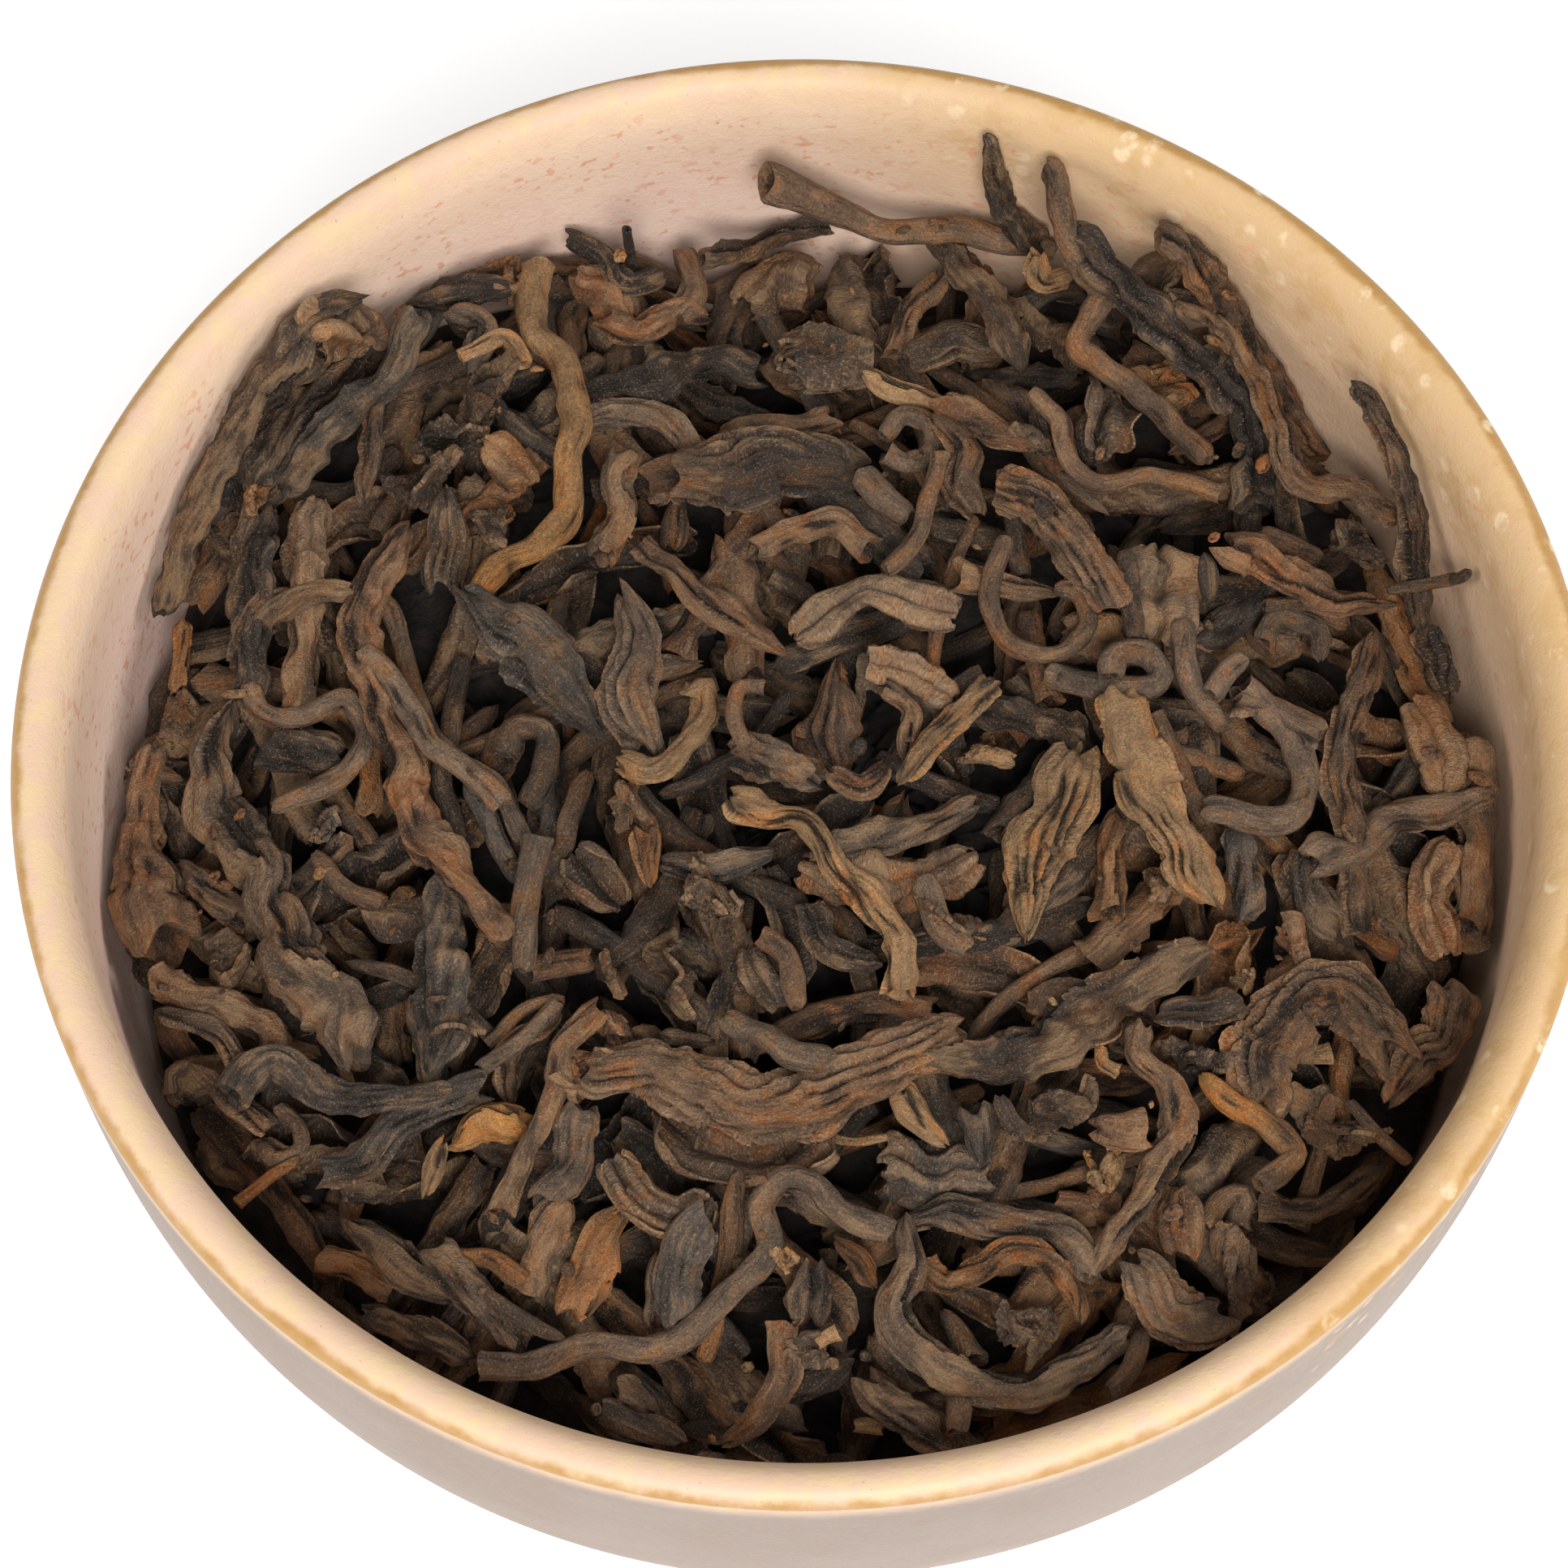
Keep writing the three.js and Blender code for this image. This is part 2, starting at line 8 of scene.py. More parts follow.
import bpy
import numpy as np
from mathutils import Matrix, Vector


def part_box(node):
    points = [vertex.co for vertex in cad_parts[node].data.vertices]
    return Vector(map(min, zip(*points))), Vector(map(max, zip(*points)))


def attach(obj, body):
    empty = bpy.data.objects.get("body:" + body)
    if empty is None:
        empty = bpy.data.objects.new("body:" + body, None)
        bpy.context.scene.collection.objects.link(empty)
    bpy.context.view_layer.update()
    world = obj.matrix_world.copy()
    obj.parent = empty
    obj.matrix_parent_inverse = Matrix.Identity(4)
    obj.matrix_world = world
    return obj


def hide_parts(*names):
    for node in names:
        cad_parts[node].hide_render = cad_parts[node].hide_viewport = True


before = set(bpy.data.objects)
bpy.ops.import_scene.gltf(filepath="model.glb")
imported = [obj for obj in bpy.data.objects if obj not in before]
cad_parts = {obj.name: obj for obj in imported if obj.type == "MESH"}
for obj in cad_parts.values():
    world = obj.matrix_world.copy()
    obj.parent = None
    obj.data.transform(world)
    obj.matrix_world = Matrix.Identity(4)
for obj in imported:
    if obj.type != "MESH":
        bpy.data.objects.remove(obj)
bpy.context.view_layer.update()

MM = 0.001
TAU = 2 * math.pi
UP = np.array([0.0, 0.0, 1.0])

# Bowl, as in the part's source
RIM_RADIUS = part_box("bowl")[1].x / MM
BOWL_HEIGHT = 48.0
WALL = 3.4
LIP_RADIUS = WALL / 2
LIP_BASE = BOWL_HEIGHT - LIP_RADIUS
LIP_MIDDLE = RIM_RADIUS - LIP_RADIUS
LIP_EDGE = 1.2      # rounding of the lip's outer edge
LIP_SLOPE = 3.6     # height of the slope from the lip to the wall inside
LIP_STEPS = 14
FOOT_RADIUS = 25.0
FOOT_HEIGHT = 2.4
FOOT_SPREAD = 0.6
FOOT_RING = 5.0
FOOT_RECESS = 1.2
FOOT_SLANT = 1.2
FLOOR_HEIGHT = 5.0
FLOOR_RADIUS = 20.0
BELLY_STEEPNESS = 3.4
BELLY_ROUNDNESS = 1.6
BELLY_STEPS = 36
BOWL_SIDES = 288
BOWL_CREASE = math.radians(40)

# Camera: it looks down on the bowl along +Y
CAMERA_RISE = math.radians(66.386)
CAMERA_ROLL = math.radians(-0.181)
CAMERA_DISTANCE = 279.43
CAMERA_TARGET = np.array([-1.25, -3.852, BOWL_HEIGHT])
IMAGE_SIDE = 1932
FOCAL_PIXELS = 5500
SENSOR = 36.0

# The pieces of tea that show were read off the photograph on a level plane this far below the rim
READING_DEPTH = 8.0
READING_SCALE = 0.994
READING_TURN = math.radians(-0.6)
READING_SHIFT = (0.05, -0.46)

# Heap: its form
GAP = 0.35           # between the tea and the wall
HEAP_TOP = 42.6
LEANING_TOP = 47.0   # for what leans on the wall
HEAP_POWER = 2.4     # how late the heap falls towards the wall
EDGE_RISE = 1.5      # of the highest leaves at the wall over the depths below
CORE_DEPTH = 9.5
LOWEST_CORE = 23.0
CORE_SIDES = 120
CORE_RINGS = 44
CORE_WALL_STEPS = 10
CORE_SEED = 3

# How a piece is laid on the heap
CELL = 0.4           # of the map of heights
SINK = 0.30          # into what it lies on
STEP = 0.36          # along its middle line
STIFFNESS = 0.12

# Pieces that show
SHOWN_SEED = 71
LONG_LEAF = 14.0
SHEET_THICKNESS = 0.32
CRUMPLE_FOLDS = 11
GRAIN_SPREAD = 500

# Leaves and stems under the ones that show, and crumbs
BED_COUNT = 340
BED_LENGTHS = (7, 15)
BED_WIDTHS = {"leaf": (2.0, 3.6), "stem": (1.1, 1.9)}
# Painted shade on the leaves under the ones that show: their colours are darkened by this factor
BED_PAINTED_SHADE = 0.8
BED_DROP = 3.0
BED_HEIGHT = 33.0
BED_SEED = 12
CRUMB_COUNT = 110
CRUMB_SIZES = (0.25, 0.75)
CRUMB_SEED = 5

# Fineness of the meshes of tea
LEAF_SIDES = (28, 52)
LEAF_SIDES_BASE = 22
LEAF_SIDES_FOR_WIDTH = 10
STEM_SIDES = 18
BED_SIDES = 14
SHEET_COLUMNS = 31
BED_SHEET_COLUMNS = 11
CRUMPLE_COLUMNS = 32
CRUMB_SIDES = 8
CRUMB_RINGS = 5
LEAF_CREASE = math.radians(62)

# Light: each softbox's place, width and power, in metres and watts
SOFTBOXES = {
    "softbox_front": ((0.04, -0.47, 0.60), 0.34, 4.8),
    "softbox_right": ((0.55, 0.04, 0.38), 0.3, 1.6),
    "softbox_left": ((-0.50, -0.10, 0.26), 0.3, 0.8),
}
SKY_STRENGTH = 0.38
FLOOR_SIDE = 3.0

# Depth of the top of the tea below the rim along the wall, by angle round the bowl
EDGE_DEPTHS = (
    (-180, 17), (-150, 12), (-120, 10), (-90, 9), (-60, 10), (-30, 12), (-12, 15), (0, 13),
    (15, 13), (30, 11), (45, 12), (60, 10), (75, 13), (90, 16), (100, 17), (112, 12),
    (125, 8), (140, 8), (155, 10), (165, 13), (180, 17),
)

# Colours of the tea, as they show on the leaves in the photograph
TEA_COLOURS = {
    "black": (62, 51, 43),
    "slate": (90, 80, 71),
    "dark": (84, 66, 51),
    "brown": (118, 89, 65),
    "grey": (117, 95, 76),
    "warm": (124, 89, 62),
    "tan": (164, 127, 88),
    "rust": (138, 93, 54),
    "gold": (180, 126, 68),
}
BED_COLOURS = {
    "dark": 0.3, "brown": 0.22, "black": 0.14, "grey": 0.12, "warm": 0.12, "slate": 0.06, "rust": 0.04,
}
CRUMB_COLOURS = {"dark": 0.3, "brown": 0.4, "tan": 0.15, "rust": 0.15}
# Painted shade, put in the folds and hollow ends of the pieces of tea
FOLD_PAINTED_SHADE = (20, 16, 13)
SLATE_SKIN = (66, 59, 54)
# Painted highlight in tan, put on the ridges of the pieces of tea
RIDGE_PAINTED_HIGHLIGHT = (184, 146, 106)
DUST_TAN = (196, 164, 128)

# Colours of the glaze, partly its own tones and partly painted light and shade: the lip's cream and the
# greyish pink outside are painted darker than the inside wall's peach.
GLAZE_COLOURS = {
    "peach": (250, 217, 197),
    "rose": (246, 208, 192),
    "sand": (238, 208, 176),
    "ochre sand": (228, 192, 144),
    "ochre wall": (218, 180, 130),
    "rosy speck": (230, 166, 132),
    # Greyish pink of the outside, partly its own colour and partly painted shade
    "outside": (144, 127, 115),
    "outside brown": (138, 118, 102),
    # Cream of the lip, partly its own colour and partly painted shade against the stronger light on the
    # lip
    "lip": (220, 186, 158),
    "lip cream": (222, 193, 150),
    "lip ochre": (206, 168, 114),
    "rim": (178, 134, 72),
    "olive": (196, 156, 92),
    "pale spot": (246, 222, 186),
    "pit": (130, 98, 70),
}

# Every piece of tea that shows: its kind, its layer in the heap from the lowest to the highest,
# its colour from end to end, its width from end to end, how far its first end is raised where it
# leans on the wall, and the points it passes through on the reading plane. A line that starts with
# a space goes on with the row above it.
SHOWN_PIECES = """
leaf 3 dark 3.6>2.8>2.6 9 | -30.5,36 -33,35 -35.5,31 -38,27 -40,22 -41.5,17 -43,12.3
fold 3 brown 4.2 7 | -35,34.2 -32,34.6 -29.8,31.8
leaf 3 slate 2.3>2.8>2.9 2 | -26.5,35 -28.3,30 -32,26.5 -35,21.5
stem 2 dark 1.6 0 | -22.5,32 -25,30.5 -28,29
leaf 3 grey 2.4 0 | -24.2,34.6 -22.2,34 -22.8,30.5
leaf 3 brown 1.8>2.1 0 | -29,28 -29.3,24 -29.5,20.5
stem 4 tan>gold 2.3>2.2>2.1 0 | -18.5,38.5 -18.8,34.5 -16.5,31 -15.5,27 -16,22.5 -15.8,20
 -17.5,17.5 -20.5,15.5 -22,13
stem 3 tan 1.3 0 | -23.5,31.5 -20.5,33 -19,31
ball 2 dark 4.6 0 | -21.5,28.5
fold 3 rust 3 0 | -21.5,25 -20,23.5 -18.5,22
ball 2 dark 4.8 0 | -26,22
ball 1 black 4 0 | -24,25
leaf 2 dark 2.8>3.2 0 | -36.5,20 -37,16 -37,12
ball 2 rust 1.8 0 | -36.6,20.6
fold 2 grey 3.2 0 | -32.5,20.5 -33,17 -33,14
leaf 4 warm 4>2.8>3.6>2.6 0 | -26.5,18.5 -29,14 -29.5,11 -28,6 -26.5,2 -25,-3 -22.5,-6.5 -19,-11
stem 3 grey 1.4 0 | -30.5,14 -28,13 -26.5,10 -25.5,6 -23.5,2.5 -20,-0.3 -18,-4
stem 4 grey 1.7 0 | -29,9.5 -27,7 -24.5,3 -22,1 -19.5,-1.5
fan 3 dark 3.2 0 | -24,20.8 -23.8,17.5 -24,14.2
ball 2 dark 2.8 0 | -21,19
leaf 3 grey 2>3>1.8 0 | -37.3,9.5 -36.5,12 -34,13 -30.3,14
leaf 2 black 2.8 0 | -36,18 -36.5,12 -36.5,6
leaf 2 brown 2.6 0 | -33,16 -33,10 -33,5
leaf 2 rust 1.6 0 | -41,11.5 -41,9 -41,6.5
ball 3 brown 3.2 0 | -41.4,4.6
leaf 2 brown 2.8 0 | -43,1.5 -42,0.8 -40.5,0.5
stem 3 grey 1.5 0 | -36.5,7 -35.5,5 -33,4.5 -30,6 -28.7,3.5 -29.3,1.5 -31.5,-0.5 -34.5,-1.7
leaf 4 grey 2.6>4>5>4.4 0 | -37.5,5.5 -38.5,2.5 -38,-1.5 -35.5,-5 -33.5,-9.5 -32,-13 -29.5,-15.5 -28,-19
leaf 3 brown>warm>brown 2>2.6>4.6>5 0 | -42.3,2.5 -43,-2 -42.6,-7 -40.5,-11.5
leaf 3 brown 3 0 | -40,-6 -38,-8 -36,-9.5
ball 2 dark 3.8 0 | -37,-12.5
leaf 2 brown 2.6 0 | -41,-14 -37,-15.5 -34,-17.5 -32.5,-19.5
leaf 2 grey 1.9 0 | -41,-16 -37.5,-17 -35,-20
leaf 3 slate 2.6>4.2>3.4 0 | -22.5,-6 -23.2,-10 -23,-15 -23.5,-20
stem 3 brown 1.4 0 | -31.5,-5 -30,-7 -27,-8.5
ball 3 slate 2 0 | -31,-3
leaf 1 black 3.4 0 | -35,2.5 -32.5,2 -30,1.5
stem 2 dark 1.5 0 | -22.5,9 -23,5 -23.5,1 -22.5,-4
stem 2 slate 1.5 0 | -22,0 -20,-3.5 -18.5,-7
stem 3 grey 2 0 | -17.3,-4 -17.8,-8 -18,-13
stem 3 dark 1.8 0 | -19.5,2 -19,3.8 -17.2,3.8 -16.8,1.5 -18,-1.5
fan 4 slate 4>5.2>4.2 0 | -22.5,13.5 -19,10.5 -16,7 -13.5,4
fan 4 grey 3.8 0 | -12,13.5 -11,11 -11.5,7 -10.5,2.5
leaf 4 warm 1.8>2.9>1.4 0 | -11,17.5 -8.5,15 -4.5,12 -1.3,9.5
leaf 4 tan 2.1 0 | -12,1.5 -10,0.7 -8,2.5 -6.3,5.5 -6.5,7 -7.3,6
stem 3 brown 1.2 0 | -2.7,7 -4.3,7 -4.6,5 -3.8,2.7
fan 2 warm 5.6 0 | 2,7.8 1.9,4.5 1.8,1.2
leaf 3 warm 1.8 0 | 1.7,1 3.7,0 5.2,1.5
fold 2 grey 2.8 0 | 4,8.5 7,8 9.7,6
leaf 3 brown 1.7 0 | 5.3,7.2 7,5.5 6.8,2
leaf 3 tan 2.1 0 | 6.2,0.3 7.8,2.7 10.5,5.5 12.3,7.5
leaf 3 brown 2.1 0 | -3.5,17 -0.5,18.5 2.3,18.8 4.3,17
fold 3 grey 2.8 0 | -0.5,10.5 1.3,12.2 4,14 7.5,13 10,12.5
leaf 2 grey 2.6 0 | 5.3,14.7 8,14 10,13.5
stem 4 brown 1.4 0 | 13.3,18 12.2,14.5 12.6,11.5 14.5,9.6 17,9.8 18.7,11.8 18.3,13.8 16.5,14.3
leaf 3 brown 2.1 0 | 10,15 13,14.5 16.5,14
ball 3 tan 3.2 0 | 12,2.8
leaf 2 grey 3 0 | -4.8,2 -2,1.7 0.7,0.8
leaf 4 tan 2.5 0 | -4.7,-0.8 -2.5,-2 0,-2.6 2,-5.5 4.3,-8.3 6,-10.8 6.2,-14.5
leaf 3 grey 2.4 0 | 1.6,-4.3 4.7,-3.8 8.3,-2.8 11,-1.3
fold 2 brown 3.4 0 | 0,-5.5 4,-6.7 7,-6.7 11,-5
stem 3 grey 1.9 0 | 7.8,-6.7 8.5,-9.3 10.5,-11.3
ball 3 dark 4 0 | 9.6,-8.8
leaf 2 slate 2.6 0 | -9,-5.5 -5.7,-6 -2,-4.7
ball 3 dark 3.8 0 | -6.3,-7.7
ball 2 dark 5.2 0 | -8,-12.8
fold 2 dark 3.6 0 | -3.6,-11.5 -2.5,-13.5 -1.5,-15.5
stem 2 brown 1.6 0 | -2.7,-10.5 -1,-12 -0.5,-15.5
leaf 3 dark 2.1 0 | 0.3,-8.6 2.2,-11.7 4.7,-12.2
stem 2 warm 1.8 0 | -17.3,-12.8 -15.5,-12.5 -13.5,-12.2
ball 3 warm 2.6 0 | -12.2,-13.3
fold 3 dark 3.2 0 | -14.8,-4.8 -13,-7.2 -11.8,-8.6
stem 2 dark 1.5 0 | -14,0.8 -15,-2 -15.5,-4.5 -17.5,-6.5
leaf 3 rust 2.6 0 | -10.5,-3.2 -10,-5 -9.8,-7
ball 2 brown 3.4 0 | -11,-1.8
stem 3 brown>grey 3.2>2>2.2>2 10 | -3,45.5 0.5,44 3,42.5 6,41.5 9.5,41.7 13.5,41 17,40
leaf 3 dark 0.6>2.6>3.2 14 | 12.5,50.2 13,47.7 14.3,45.3 16.5,41.7
leaf 3 brown 2.1 0 | -8.5,39.5 -7.8,37 -8.7,34.5
leaf 3 black 1.9 0 | -16.5,40.8 -14,39.5 -12.3,37.3 -10,38
fold 2 warm 4.4 0 | -15.5,38.4 -13.5,37 -12,34.6
leaf 3 warm 2.7 0 | -14,34.5 -11.5,33.6 -9,35 -6.8,34.8
ball 2 warm 4.4 0 | -21.5,39
fold 2 brown 4 0 | -4.4,35.8 -2.3,38 0.3,37.5
leaf 2 dark 1.6>2.6>1.6 3 | -7.3,39.2 -4,40.2 -1,41.6 1.5,42.2
leaf 2 brown 2.1 0 | 6,31.8 7,35.5 9,38
fan 2 dark 3.4 0 | 7.2,31.5 10,33 12.8,32.3
leaf 2 dark 2.9 0 | 9,40.7 11.5,37.6 13.2,34.5 14.5,30.8
leaf 2 black 3.5 0 | -15,28.3 -10,29.9 -6,31 -3.5,30.8
ball 2 dark 5.8 0 | 1.2,31.5
fan 3 grey 2.7>2.2>1.4 0 | -16.5,26.3 -13.5,27.2 -9.8,26.9 -7.9,25 -7.3,23.2
leaf 2 brown 2 0 | -5.7,26 -3.7,26.6 -0.7,26.3 1.8,27
fan 3 brown>black>dark 5>5.6>4.4 0 | -9.6,22.2 -5,23 -1.2,23.5 3.4,23
stem 3 grey 1.5 0 | 5.2,25.6 6.4,27.2 8.2,26.6 8.4,24.6 6.8,23.6 5.4,24.4
stem 4 brown 1.3 0 | 9,24.3 8,20.3 6.8,17 5.3,15.6
stem 3 grey 2.1 0 | 3.8,22.7 5.2,21 6.7,19.5
leaf 3 brown 2.6 0 | 8.5,27 10.7,24.8 10.4,21.8 11.3,19.8
leaf 3 warm 2.3 0 | 9,28 12.2,26.3 14.8,25
leaf 2 tan 1.9 0 | 4.2,30.5 6.5,29 10,28
ball 2 dark 4.2 0 | 15.3,26
leaf 2 brown 2.6 0 | -12,24.3 -12.8,21.8 -12.2,20 -13.7,16.5
leaf 2 brown 2.1 0 | -8.5,21 -8.7,19 -8.9,17
stem 4 brown 1.9 11 | 16.7,47.5 17.3,44.5 18,40.5 20,36.5 18.5,32.5 21.5,30 24.3,27 27,24
leaf 4 black 2.9 7 | 18.2,42 19.7,39.7 22.3,36.5 25,33.3 28.3,30 29.8,26.7 30,20.8
leaf 4 brown 3.4>3>2.2 11 | 25,43.2 26.7,40.3 29,37 32,34 33.7,29.5 35.5,25
ball 4 grey 4.8 11 | 25.4,42.6
stem 4 grey 1.5 4 | 22.3,38.3 24.5,39.3 26.2,37.7 28.5,37.8
leaf 4 brown 2.4 4 | 25.2,36.4 28.8,34.8 30.3,31.3 31.8,26.7 33.2,22.3 36.8,21.7 39.3,19.5
leaf 3 tan 1.8 2 | 15.6,39.7 16.2,37.4 18,38.2
leaf 4 dark 1.4>2.2>2.8 9 | 37,29.7 39.2,27.5 40.7,24.5 40.7,20.2 40.5,15.8 40.6,11.5
fold 3 dark 2.2 0 | 41,11.6 41.6,9 42,7
stem 4 dark 0.9 5 | 46,16.4 43.5,15.4 41,14.8 38.5,14.4
stem 3 brown 1.5 0 | 15.3,29 17,27 18,23.3 19.6,22.2 22.3,22.8 27.7,21.5
fold 3 dark 4 0 | 19.8,29.4 19.9,27 20,24.6
ball 3 rust 3.8 0 | 24.2,29.5
leaf 3 warm 3.2>3>2.2 0 | 28,17.8 31.5,15.8 35.3,13.5 39,13.5
fold 2 grey 5.8 0 | 23.5,17.2 23.3,14 23.2,10.4
stem 3 dark 1.5 0 | 21.2,17 21.5,14 21.7,10.7
ball 3 dark 3.6 0 | 37,17.8
stem 2 dark 1.6 0 | 26.5,17 26.6,15 26.7,13.5
stem 2 brown 1.7 0 | 30.2,18.5 32,17.6 34,16.5
fan 4 brown 3.6 0 | 13,22 15.7,20.5 18.3,16.5 20.5,13
stem 4 grey 1.9 0 | 15.8,8.2 18,7.5 21,7 23.2,8 22.5,9.8 20.5,9.4 20,7.8
fan 4 tan 3.9 0 | 20.5,6.8 21.3,3.5 22.5,-1 24.3,-4.5 26.4,-8
stem 3 brown 1.6 0 | 22.8,5 24.4,1.2 26,-2.7
stem 3 grey 1.7 0 | 25,12.1 24.9,9.3 26.2,6 27.2,4.2
stem 3 grey 1.7 0 | 28.8,9.2 27.5,8 26.6,6.6
stem 4 grey 2 0 | 28.7,7.2 31.3,4.2 32.6,1.2 31.8,-1.6 29,-2.2 25.8,-1.3
leaf 4 grey 2.4 0 | 28.2,6.6 31,5.5 33.8,3.8
stem 3 grey 1.6 0 | 30,10.6 31,12 33.7,11.6 33.9,9.2
stem 2 brown 1.4 0 | 30.3,13 33.3,13.2 35.8,11.8
leaf 4 brown 2.5 0 | 37.5,11 36.7,7.8 35.3,4.1 35,0.7 35.6,-2.8 35.5,-7.2 35.7,-10
leaf 4 grey 3.4>3>1.6 0 | 32.5,-5 35.8,-4.5 38,-2.5 41.3,-1.6 44.6,-0.4
leaf 3 brown 3.5 0 | 43.7,3.7 44.5,2 45.5,-1 45.5,-4.3 44,-7 42.5,-10
fold 3 brown 3.2 0 | 39.9,6.2 41.3,3 41.7,-0.3
fold 3 warm 3.2 0 | 41.9,-3.8 40.3,-7.2 41.2,-11.5
fan 4 tan 4.2>4.8>2.2 0 | 17.8,2.3 16.5,-1.7 14.6,-6 14.2,-10.2
leaf 3 rust 2.3 0 | 20.2,-1.7 19.9,-5 19.6,-9
leaf 2 slate 2.6 0 | 28.3,-3 28.3,-6 28.3,-9
leaf 2 dark 3.6 0 | 32,-4.5 33,-8.4 34.2,-10.5
ball 3 warm 2.8 0 | 22.9,-6.8
ball 2 warm 3.8 0 | 30.5,-11.3
ball 2 tan 1.5 0 | 28,-13.3
fan 4 brown 4.4 0 | 28.7,-22 29.3,-18 31,-15.2 33.5,-14 35.8,-15.5 37.7,-18.5
fan 3 brown 3.7 0 | 41.2,-13.7 42,-16.5 39,-18.5 37.2,-21.3
stem 2 tan 1.4 0 | 31.2,-18.3 32.3,-18.4 33.4,-18.3
ball 3 brown 5 0 | 33.7,-22.5
stem 4 gold>brown 1.8 0 | 25.2,-19.7 26.7,-21.3 29,-23 31,-25 28.5,-27
leaf 4 brown 1.8>2.7>1.6 0 | 21.5,-16.5 21.3,-18.5 23.2,-20.5 23.6,-23.5 22,-27 19.8,-30.2 18,-33
leaf 3 brown 2.3 0 | 28.5,-28.2 31.6,-28.7 34.3,-27.5 36.4,-25.8
stem 4 brown 0.9 0 | 34.5,-21.5 36,-23.5 38,-25.5
stem 3 brown 1.7 0 | 25,-29.8 26,-28.4 27.5,-27.9 27.2,-30
leaf 3 warm 3 0 | 23.5,-28 23.6,-29.5 23.8,-31.5
fan 3 grey 4.2 0 | 20.7,-32.3 23.3,-35.5 26.2,-36.2
ball 3 grey 4.8 0 | 26.5,-33
ball 2 dark 4.2 0 | 16,-22
leaf 2 warm 2.6 0 | 18.5,-23.2 20,-23.3 21.5,-23
ball 2 tan 2.6 0 | 18.8,-26
leaf 3 grey 2.7 0 | 6.2,-29.8 9,-29 12,-29.8 16,-30.5 18,-33
leaf 4 rust 1.9 0 | 7.7,-32.5 9,-33.7 10.8,-32.9 12.8,-31.5 15,-32 16.8,-34 17.2,-36
leaf 4 grey 2.3>3>2.6 0 | 6.5,-29.4 6.8,-32.2 6,-35.6 8.2,-38.7 10.7,-40 14.5,-40.3 18,-38 20,-36.7
stem 3 grey 2 0 | 8.7,-35.5 9.8,-37 10.7,-38.6
stem 3 brown 1.4 0 | 21.3,-36.5 20.2,-38.7 19,-40.5
ball 2 dark 4.2 0 | 13.5,-36
stem 3 tan 1 0 | 18.8,-18 19,-19 20,-19.5
fold 2 warm 5.2 0 | 15,-16.5 17.5,-15.8 20,-15.5
leaf 3 dark 3 0 | 22.5,-15.8 25,-15.5 27.5,-14.7
ball 2 black 3.8 0 | 24.8,-18.5
fan 4 brown 3>5.6>3.2 0 | -14,-19.8 -9.7,-19.8 -5.5,-21.2 -2,-22.3 1.2,-21.5 4,-19.8 7.7,-17.8 10.3,-17.3
fold 3 brown 4.2 0 | -9,-22.3 -5,-25.2 -2,-25.5 2,-23
ball 4 warm 4 0 | -13.8,-19.8
leaf 4 dark 2.8>4.4>3 0 | 7,-18.5 11,-19 15,-18 18,-15.5 22,-13 25.5,-11.5
stem 4 grey 1.9 0 | -5,-16 -2,-17.7 2,-19.3
stem 3 brown 1 0 | -20,-18 -17.3,-15.5 -15.2,-15
leaf 3 brown 1.9 0 | -15.5,-16 -18.5,-18.5 -18.3,-22
leaf 4 brown 1.8 0 | -13,-15.5 -15.2,-18 -15.5,-21 -17.5,-25.5 -18.7,-29.3
leaf 4 grey 2.9 0 | -14,-22.3 -14.3,-25.2 -16.2,-28.5
ball 3 warm 2.8 0 | -12,-17.3
leaf 2 dark 2.1 0 | -9,-17.3 -7.4,-17.6 -5.8,-17.8
fold 3 grey 2.7 0 | -12,-25.7 -10,-28.5 -7.3,-29.5 -5.7,-28.2
stem 3 brown>rust 1.8>1.2 0 | -4,-26.3 -4.3,-29.5 -4.8,-33.7 -6,-38.6
fan 3 slate 3.2 0 | -6,-29.5 -7.5,-32 -7.5,-36
leaf 2 dark 1.9 0 | -8.5,-32.2 -8.8,-34 -9,-36.3
stem 4 grey 1.8 0 | -19.7,-39 -16.6,-39.1 -13.7,-37.8 -9.3,-37.9 -6.8,-36.8 -4.3,-34
 -2,-31.5 -2.4,-28.4 -0.9,-26.8 0.7,-27 2,-28.8 5.7,-30.2
leaf 2 rust 3.6 0 | -11.3,-29 -13,-32.5 -14.2,-35.8
leaf 2 brown 2.5 0 | -14.7,-28.5 -16.2,-31.5 -17.5,-34.4
ball 3 tan 1.5 0 | -1,-32
leaf 2 dark 3 0 | 0.7,-32.5 0.7,-34 0.7,-36
leaf 3 warm 2 0 | -1.3,-36.3 -1,-39.3 -2.4,-42 -4.7,-43.8
ball 2 dark 3.2 0 | 0.2,-37.7
stem 3 tan 1 0 | 1,-37.6 1.6,-37.2 2.3,-36.9
leaf 3 brown 2.9 0 | 4,-39.8 5.7,-41.5 9,-43.5
stem 3 brown 1.7 0 | 8.4,-39.3 9.7,-41 9.7,-43
stem 2 tan 1.1 0 | 3.3,-42.6 4.2,-42.6 5.1,-42.8
leaf 1 dark 2.6 0 | -10.6,-40 -9.6,-41 -8.8,-42
leaf 1 dark 2.6 0 | -12,-42 -9.5,-43 -7.3,-43.7
fold 2 slate 4.6 0 | 5,-25.8 8.3,-26.3 11.6,-26
leaf 2 slate 3.6 0 | 10.8,-22.3 11.2,-23.8 11.5,-25.4
leaf 3 tan 2.4 0 | 6.3,-20.7 7.3,-22.8 8.9,-24.4
stem 2 tan 0.6 0 | 1.4,-24 3.4,-24.4 5.3,-24
stem 3 dark 1.3 0 | 12.5,-21.3 13.2,-23 14,-24
leaf 1 rust 3.2 0 | 2.3,-31 3.5,-32 4.5,-33.5
